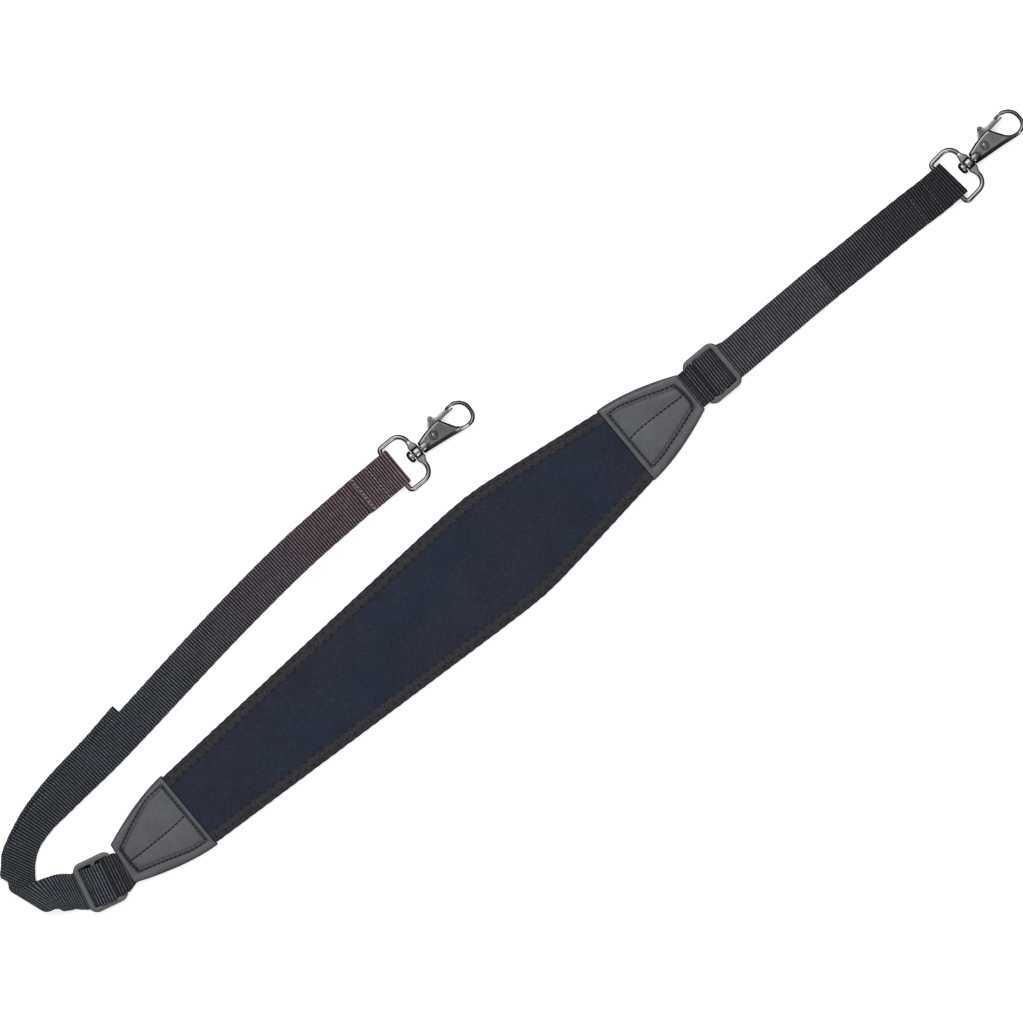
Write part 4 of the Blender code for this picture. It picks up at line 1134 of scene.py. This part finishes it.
def settle(piece, place, body, node, sharp=38, wear=1.0):
    """Applies the modifiers, moves the piece to its place, shades it and rides it on its body.

    body may also be a tuple of two bodies and the two ends of a blend between them; its contents are not
    used, no blend is made and the piece is left unattached.
    """
    graph = bpy.context.evaluated_depsgraph_get()
    mesh = bpy.data.meshes.new_from_object(piece.evaluated_get(graph))
    piece.modifiers.clear()
    piece.data = mesh
    mesh.transform(Matrix.Diagonal((MM, MM, MM, 1)) @ place @ Matrix.Diagonal((1 / MM, 1 / MM, 1 / MM, 1)))
    for helper in helpers:
        bpy.data.objects.remove(helper)
    helpers.clear()
    mesh.shade_smooth()
    mesh.set_sharp_from_angle(angle=math.radians(sharp))
    add_wear(mesh, wear)
    if isinstance(body, tuple):
        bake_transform(piece)
    else:
        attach(piece, body)
    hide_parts(node)


def add_wear(mesh, strength):
    """Attribute of rubbed wear: how convex the surface is at each point, so that high edges look rubbed. The
    leather tabs fill the same attribute with a painted highlight.
    """
    count = len(mesh.vertices)
    normals = np.array([v.normal for v in mesh.vertices])
    places = np.array([v.co for v in mesh.vertices])
    edges = np.array([e.vertices for e in mesh.edges])
    step = places[edges[:, 1]] - places[edges[:, 0]]
    size = np.linalg.norm(step, axis=1) + 1e-9
    bend = ((normals[edges[:, 1]] - normals[edges[:, 0]]) * step).sum(1) / size
    total, uses = np.zeros(count), np.zeros(count)
    for end in (0, 1):
        np.add.at(total, edges[:, end], bend)
        np.add.at(uses, edges[:, end], 1)
    wear = np.clip(total / np.maximum(uses, 1) * 2.2, 0, 1) * strength
    layer = mesh.attributes.new("wear", "FLOAT", "POINT")
    layer.data.foreach_set("value", wear.astype(np.float32))


SLIDER_ENDS, SLIDER_HALF, SLIDER_HALF_THICK = (-1.7, 24.8), 16.6, 1.6
WINDOWS, WINDOW_HALF = ((1.7, 9.8), (12.8, 20.9)), 13.1
GRIP_RIDGES, GRIP_PITCH = 11, 2.1


def build_slider(side, start, angle, plastic):
    """Three-bar adjuster, its origin on the near bar, with grip ridges across the centre bar."""
    outline = rounded_outline(*SLIDER_ENDS, SLIDER_HALF, 5.8, 14)
    slider = prism(f"{side}_slider_frame", outline, -SLIDER_HALF_THICK, SLIDER_HALF_THICK, plastic)
    for low, high in WINDOWS:
        carve(slider, prism("window", rounded_outline(low, high, WINDOW_HALF, 1.3, 5), -9, 9, plastic))
    round_edges(slider, 1.15, 5, 50)
    for k in range(GRIP_RIDGES):
        ridge = prism("ridge", rounded_outline(10.4, 12.2, 0.28, 0.27, 3), 1.2, 1.85, plastic)
        ridge.data.transform(Matrix.Translation((0, (k - GRIP_RIDGES // 2) * GRIP_PITCH * MM, 0)))
        carve(slider, ridge, "UNION")
    place = Matrix.Translation((*start, NEAR_BAR_Z)) @ Matrix.Rotation(angle, 4, "Z")
    place = place @ Matrix.Rotation(-SLIDER_TILT, 4, "Y")
    settle(slider, place, f"{side}_slider", f"{side}_slider")


# ---------------------------------------------------------------- hooks

EYE_HALF, EYE_DEPTH = 16.4, 17.5
COLLAR_X = (15.2, 20.9)
EYE_NEAR_R, EYE_FAR_R = 2.4, 7.2
GUSSET_HALF, PIN_R, PIN_BORE_R = 1.75, 1.6, 1.8
PIVOT = (32.7, 1.4)
CHANNEL = ((29.5, -3.3), (53.4, -3.3), (53.4, 14.0), (29.5, 14.0))
CHANNEL_HALF, LEVER_HALF, THUMB_HALF = 1.2, 0.95, 2.1
SPRING_X, SPRING_Y, SPRING_R, SPRING_WIRE_R, SPRING_TURNS = 38.4, (-2.95, 3.4), 0.8, 0.22, 6.5
CLAW_HALF, NOSE_HALF, BEVEL, RIM_STEP = 2.7, 1.85, 2.5, 0.45
BOTTOM_LINE = [(21.6, -3.75), (31.5, -5.1), (41.5, -6.5), (49.5, -8.0), (53.6, -8.6)]


def lathe(name, profile, material, steps=40, axis="X"):
    """Profile points (x, radius) turned about the x axis, or stood up along z."""
    angles = np.linspace(0, TAU, steps, endpoint=False)
    points = [(x, r * math.cos(a), r * math.sin(a)) for x, r in profile for a in angles]
    piece = new_piece(name, points, capped(len(profile), steps), material)
    if axis == "Z":
        piece.data.transform(Matrix.Rotation(math.radians(-90), 4, "Y"))
    return piece


def build_eye(side, place, metal):
    """Wire loop with a turned collar for the pin and a gusset on each side of it."""
    near, far = EYE_NEAR_R, EYE_FAR_R
    path = arc((EYE_DEPTH - far, EYE_HALF - far), far, 0, 90, 16)
    path += arc((near, EYE_HALF - near), near, 90, 180, 8)
    path += arc((near, near - EYE_HALF), near, 180, 270, 8)
    path += arc((EYE_DEPTH - far, far - EYE_HALF), far, 270, 360, 16)
    line = np.array([(x, y, 0) for x, y in path])
    gaps = np.linalg.norm(np.roll(line, -1, axis=0) - line, axis=1)
    line = line[gaps > 1e-4]
    rings = tube_points(line, WIRE_R, 24, closed=True)
    eye = new_piece(f"{side}_eye_loop", rings, quads(*rings.shape[:2], True, True), metal)
    low, high = COLLAR_X
    profile = [(low, 3.0), (low + 0.35, 3.65), (low + 0.9, 4.05), (low + 1.6, 4.15), (high - 1.9, 4.1)]
    profile += [(high - 1.0, 4.0), (high - 0.4, 3.6), (high, 2.9)]
    carve(eye, lathe("collar", profile, metal), "UNION")
    corners = [(14.9, 2.4), (20.8, 2.4), (20.7, 4.9), (19.4, 7.0), (18.8, 9.4), (16.2, 9.4), (15.7, 7.0)]
    corners += [(14.9, 5.0)]
    for sign in (1, -1):
        gusset = prism("gusset", [(x, sign * y) for x, y in corners], -GUSSET_HALF, GUSSET_HALF, metal)
        round_edges(gusset, 0.9, 3, 40)
        carve(eye, gusset, "UNION")
    carve(eye, lathe("bore", [(low - 4, 2.1), (high + 4, 2.1)], metal, 28))
    settle(eye, place, f"{side}_eye", f"{side}_eye", wear=0.8)


def build_pin(side, place, metal):
    profile = [(11.0, 0.5), (11.05, 1.4), (11.3, 2.5), (11.8, 3.3), (12.6, 3.8), (13.7, 3.9), (14.4, 3.7)]
    pin = lathe(f"{side}_peened_pin", profile + [(14.6, 3.0), (14.6, PIN_R), (25.2, PIN_R)], metal)
    settle(pin, place, f"{side}_claw", f"{side}_swivel_pin", wear=0.8)


def claw_outline():
    """Round the claw: underside, nose, tip, the bight that holds the ring, heel and back."""
    bottom = rounded_line(BOTTOM_LINE, 6)
    nose = rounded_line([(53.6, -8.6), (58.0, -7.6), (61.0, -4.3), (61.9, 0.6), (61.3, 4.6), (59.0, 8.0)], 8)
    nose = np.vstack([nose[:-1], rounded_line([(59.0, 8.0), (55.6, 10.0), (52.2, 10.7), (49.2, 10.5)], 6)])
    tip = rounded_line([(49.2, 10.5), (48.2, 10.0), (47.9, 9.2), (48.4, 8.3), (49.6, 8.0)], 4)
    bight = [(49.6, 8.0), (52.4, 8.1), (55.4, 7.4), (57.9, 5.5), (59.25, 2.6), (59.35, -1.4), (58.2, -4.1)]
    bight = rounded_line(bight + [(56.2, -5.5)], 6)
    heel = rounded_line([(56.2, -5.5), (53.4, -5.9), (50.2, -5.3), (47.6, -3.4), (44.4, 1.6), (41.9, 5.9)], 6)
    crest = rounded_line([(41.9, 5.9), (41.3, 7.1), (40.0, 7.6), (37.0, 7.5), (30.5, 6.6), (21.6, 4.1)], 5)
    return np.vstack([bottom[:-1], nose[:-1], tip[:-1], bight[:-1], heel[:-1], crest]).tolist()


def casting(name, outline, half, rounding, metal):
    """An (x, y) outline swelled into a casting: flat in the middle, rounded over towards its edge."""
    line = np.array(outline + outline[:1])
    line = np.delete(line, np.flatnonzero(np.linalg.norm(np.diff(line, axis=0), axis=1) < 1e-3), axis=0)
    run = runs_along(line)
    rim = sampled(np.arange(0, run[-1], RIM_STEP), run, line)
    ahead = unit(np.roll(rim, -1, axis=0) - np.roll(rim, 1, axis=0))
    closed = np.vstack([rim, rim[:1]])
    inwards = np.column_stack([-ahead[:, 1], ahead[:, 0]])
    layers = [rim]
    for depth in (0.05, 0.18, 0.4, 0.7, 1.05, 1.45, 1.95, 2.5):
        ring = rim + inwards * depth
        layers.append(ring[distance_to(ring, closed) > 0.97 * depth][:: 1 if depth < 1.5 else 2])
    gx, gy = np.meshgrid(np.arange(20.0, 64.0, 1.0), np.arange(-10.0, 14.0, 1.0))
    grid = np.column_stack([gx.ravel(), gy.ravel()])
    layers.append(grid[distance_to(grid, closed) > 3.0])
    points = [Vector(p) for p in np.vstack(layers)]
    found = delaunay_2d_cdt(points, [], [list(range(len(rim)))], 1, 1e-5)
    flat = np.array([p[:] for p in found[0]])
    depth = distance_to(flat, closed)
    edge = depth < 1e-3
    local_half = np.interp(flat[:, 0], (43.0, 52.0), (half, NOSE_HALF))
    round_over = np.sqrt(1 - (1 - np.clip(depth / rounding, 0, 1)) ** 2)
    underside = distance_to(flat, np.array(BOTTOM_LINE)) - 1e-3
    slope = 0.30 + 0.70 * np.clip(underside / BEVEL, 0, 1)
    height = local_half * np.minimum(round_over, np.where(flat[:, 1] < 2, slope, 1.0))
    height[edge] = 0
    lower = np.cumsum(~edge) - 1 + len(flat)
    lower[edge] = np.flatnonzero(edge)
    points = np.vstack([np.column_stack([flat, height]), np.column_stack([flat, -height])[~edge]])
    faces = [list(face) for face in found[2]]
    faces += [[int(lower[i]) for i in reversed(face)] for face in found[2]]
    return new_piece(name, points, faces, metal)


def build_claw(side, place, metal):
    """Domed casting: neck for the pin, a seat round each rivet head, channel for lever and spring."""
    claw = casting(f"{side}_claw_body", claw_outline(), CLAW_HALF, 1.6, metal)
    neck = [(21.25, 3.2), (21.6, 3.65), (22.3, 3.85), (24.2, 3.8), (26.5, 3.2), (29.0, 2.2)]
    carve(claw, lathe("neck", neck, metal), "UNION")
    seat_profile = [(CLAW_HALF - 0.8, 2.5), (CLAW_HALF + 0.02, 3.0), (CLAW_HALF + 1.0, 3.0)]
    for angle in (0, math.pi):
        seat = lathe("seat", seat_profile, metal, 40, "Z")
        turn = Matrix.Rotation(angle, 4, "X")
        seat.data.transform(Matrix.Translation((PIVOT[0] * MM, PIVOT[1] * MM, 0)) @ turn)
        carve(claw, seat)
    carve(claw, prism("channel", CHANNEL, -CHANNEL_HALF, CHANNEL_HALF, metal))
    carve(claw, lathe("pin_bore", [(19.0, PIN_BORE_R), (25.5, PIN_BORE_R)], metal, 24))
    settle(claw, place, f"{side}_claw", f"{side}_claw", sharp=32)


def build_lever(side, place, metal):
    """Trigger lever: round its pivot, along the gate to the nose, and back over the stepped thumb rest."""
    outline = arc(PIVOT, 2.4, 150, 330, 14)
    outline += rounded_line([(36.4, 3.6), (40.2, 5.3), (45.0, 6.2), (52.2, 6.6)], 5).tolist()
    outline += [(52.5, 6.9), (52.5, 7.6), (52.2, 7.9), (50.7, 7.9), (50.2, 8.3), (50.1, 9.5), (49.8, 9.8)]
    outline += rounded_line([(49.0, 9.85), (44.0, 9.6), (40.4, 9.5)], 3).tolist()
    outline += [(39.9, 10.1), (39.3, 10.1), (39.1, 11.2), (38.6, 11.3), (38.4, 12.2), (37.9, 12.7)]
    outline += [(37.2, 12.85), (36.6, 12.5), (36.3, 11.7), (35.7, 11.5), (35.5, 10.7), (34.9, 10.5)]
    outline += [(34.6, 9.7), (34.0, 9.3), (32.9, 7.7), (31.2, 4.8)]
    lever = prism(f"{side}_trigger_lever", outline, -LEVER_HALF, LEVER_HALF, metal)
    round_edges(lever, 0.22, 2, 35)
    thumb = [(35.3, 10.7), (36.5, 10.9), (38.0, 10.9), (39.2, 10.5), (38.6, 12.3), (37.2, 12.9), (36.2, 12.2)]
    thumb = prism("thumb", thumb, -THUMB_HALF, THUMB_HALF, metal)
    round_edges(thumb, 0.45, 3, 35)
    carve(lever, thumb, "UNION")
    settle(lever, place, f"{side}_lever", f"{side}_lever")


def build_rivet(side, place, metal):
    head = [(1.6, 1.85), (2.5, 1.85), (2.95, 1.7), (3.2, 1.35), (3.32, 0.9), (3.36, 0.4)]
    profile = [(-x, r) for x, r in reversed(head)] + [(-1.6, 1.2), (1.6, 1.2)] + head
    rivet = lathe(f"{side}_domed_rivet", profile, metal, 32, "Z")
    where = place @ Matrix.Translation((*PIVOT, 0))
    settle(rivet, where, f"{side}_claw", f"{side}_lever_rivet")


def build_spring(side, place, steel):
    """Coil between the channel's floor and the lever."""
    steps, sides = 18, 8
    count = int(SPRING_TURNS * steps) + 1
    a = TAU * np.arange(count) / steps
    coil = (SPRING_X + SPRING_R * np.cos(a), np.linspace(*SPRING_Y, count), SPRING_R * np.sin(a))
    rings = tube_points(np.column_stack(coil), SPRING_WIRE_R, sides)
    spring = new_piece(f"{side}_coil_spring", rings, capped(count, sides, flip=True), steel)
    ends = [tuple(place @ Vector((SPRING_X, y, 0)) * MM) for y in SPRING_Y]
    bodies = (f"{side}_claw", f"{side}_lever", *ends)
    settle(spring, place, bodies, f"{side}_lever_spring", wear=0.3)


def build_hook(side, middle, eye_heading, claw_heading, wire, metal, steel):
    """One snap hook, its origin at the middle of the eye's bar. The claw may lean a little from its eye."""
    eye = Matrix.Translation((*middle, HOOK_Z)) @ Matrix.Rotation(eye_heading, 4, "Z")
    collar = Matrix.Translation((sum(COLLAR_X) / 2, 0, 0))
    claw = eye @ collar @ Matrix.Rotation(claw_heading - eye_heading, 4, "Z") @ collar.inverted()
    build_eye(side, eye, wire)
    build_pin(side, claw, wire)
    build_claw(side, claw, metal)
    build_lever(side, claw, metal)
    build_rivet(side, claw, metal)
    build_spring(side, claw, steel)


# ---------------------------------------------------------------- the whole strap

add_camera()
add_world()
above_left = VIEW_UP * 1.25 - VIEW_RIGHT * 0.85
strap_middle = Vector((0.1, 0.0, 0.0))
add_area_light("key_softbox", strap_middle + above_left + Vector((0, 0, 2.1)), strap_middle, 2.2, 47.0)
add_area_light("side_fill", strap_middle - above_left + Vector((0, 0, 1.3)), strap_middle, 0.7, 9.0)
add_floor()
bpy.context.scene.view_settings.view_transform = "Standard"

black_thread = thread_material("black_thread", (0.010, 0.010, 0.012))
zigzag_thread = thread_material("tape_thread", (0.070, 0.069, 0.078), 0.8)
mauve_thread = thread_material("mauve_thread", (0.36, 0.29, 0.32), 0.8)
grey_thread = thread_material("grey_thread", (0.10, 0.10, 0.11), 0.8)

build_pad(pad_material())
tape = tape_material()
build_tape("upper", UPPER_EDGE, -1, tape, zigzag_thread)
build_tape("lower", LOWER_EDGE, 1, tape, zigzag_thread)
leather = leather_material("grey_leather", (0.065, 0.070, 0.080), (0.090, 0.095, 0.106))
build_tab("left", LEFT_TAB, LEFT_SEAMS, leather, black_thread)
build_tab("right", RIGHT_TAB, RIGHT_SEAMS, leather, black_thread)
plastic = plastic_material()
build_slider("left", *LEFT_SLIDER, plastic)
build_slider("right", *RIGHT_SLIDER, plastic)
left_web = webbing_material("webbing_left", (0.060, 0.066, 0.080), (0.118, 0.082, 0.096), (225.0, 445.0))
right_web = webbing_material("webbing_right", (0.052, 0.054, 0.062), dim_span=(140.0, 205.0))
right_tail_web = webbing_material("webbing_tail", (0.070, 0.073, 0.086))
# the loop webbing's own grey, made darker with painted shade where it lies in shadow under the tab and the
# wrap
shaded_loop_web = webbing_material("webbing_loop_shaded", (0.045, 0.045, 0.053))
build_loops(shaded_loop_web)
build_left_arm(left_web, mauve_thread)
build_right_arm(right_web, right_tail_web, grey_thread)
wire = metal_material("polished_gunmetal", (0.20, 0.20, 0.202), (0.34, 0.34, 0.335), (0.16, 0.28))
gunmetal = metal_material("gunmetal", (0.13, 0.13, 0.128), (0.25, 0.25, 0.24), (0.20, 0.30))
steel = metal_material("spring_wire", (0.45, 0.45, 0.45), (0.6, 0.6, 0.6), (0.2, 0.35))
build_hook("left", (56.5, 80.7), 0.0, 0.0, wire, gunmetal, steel)
build_hook("right", (437.0, -2.1), math.radians(6.0), math.radians(3.0), wire, gunmetal, steel)
print("webbing lengths, mm:", {key: round(value, 1) for key, value in lengths.items()})
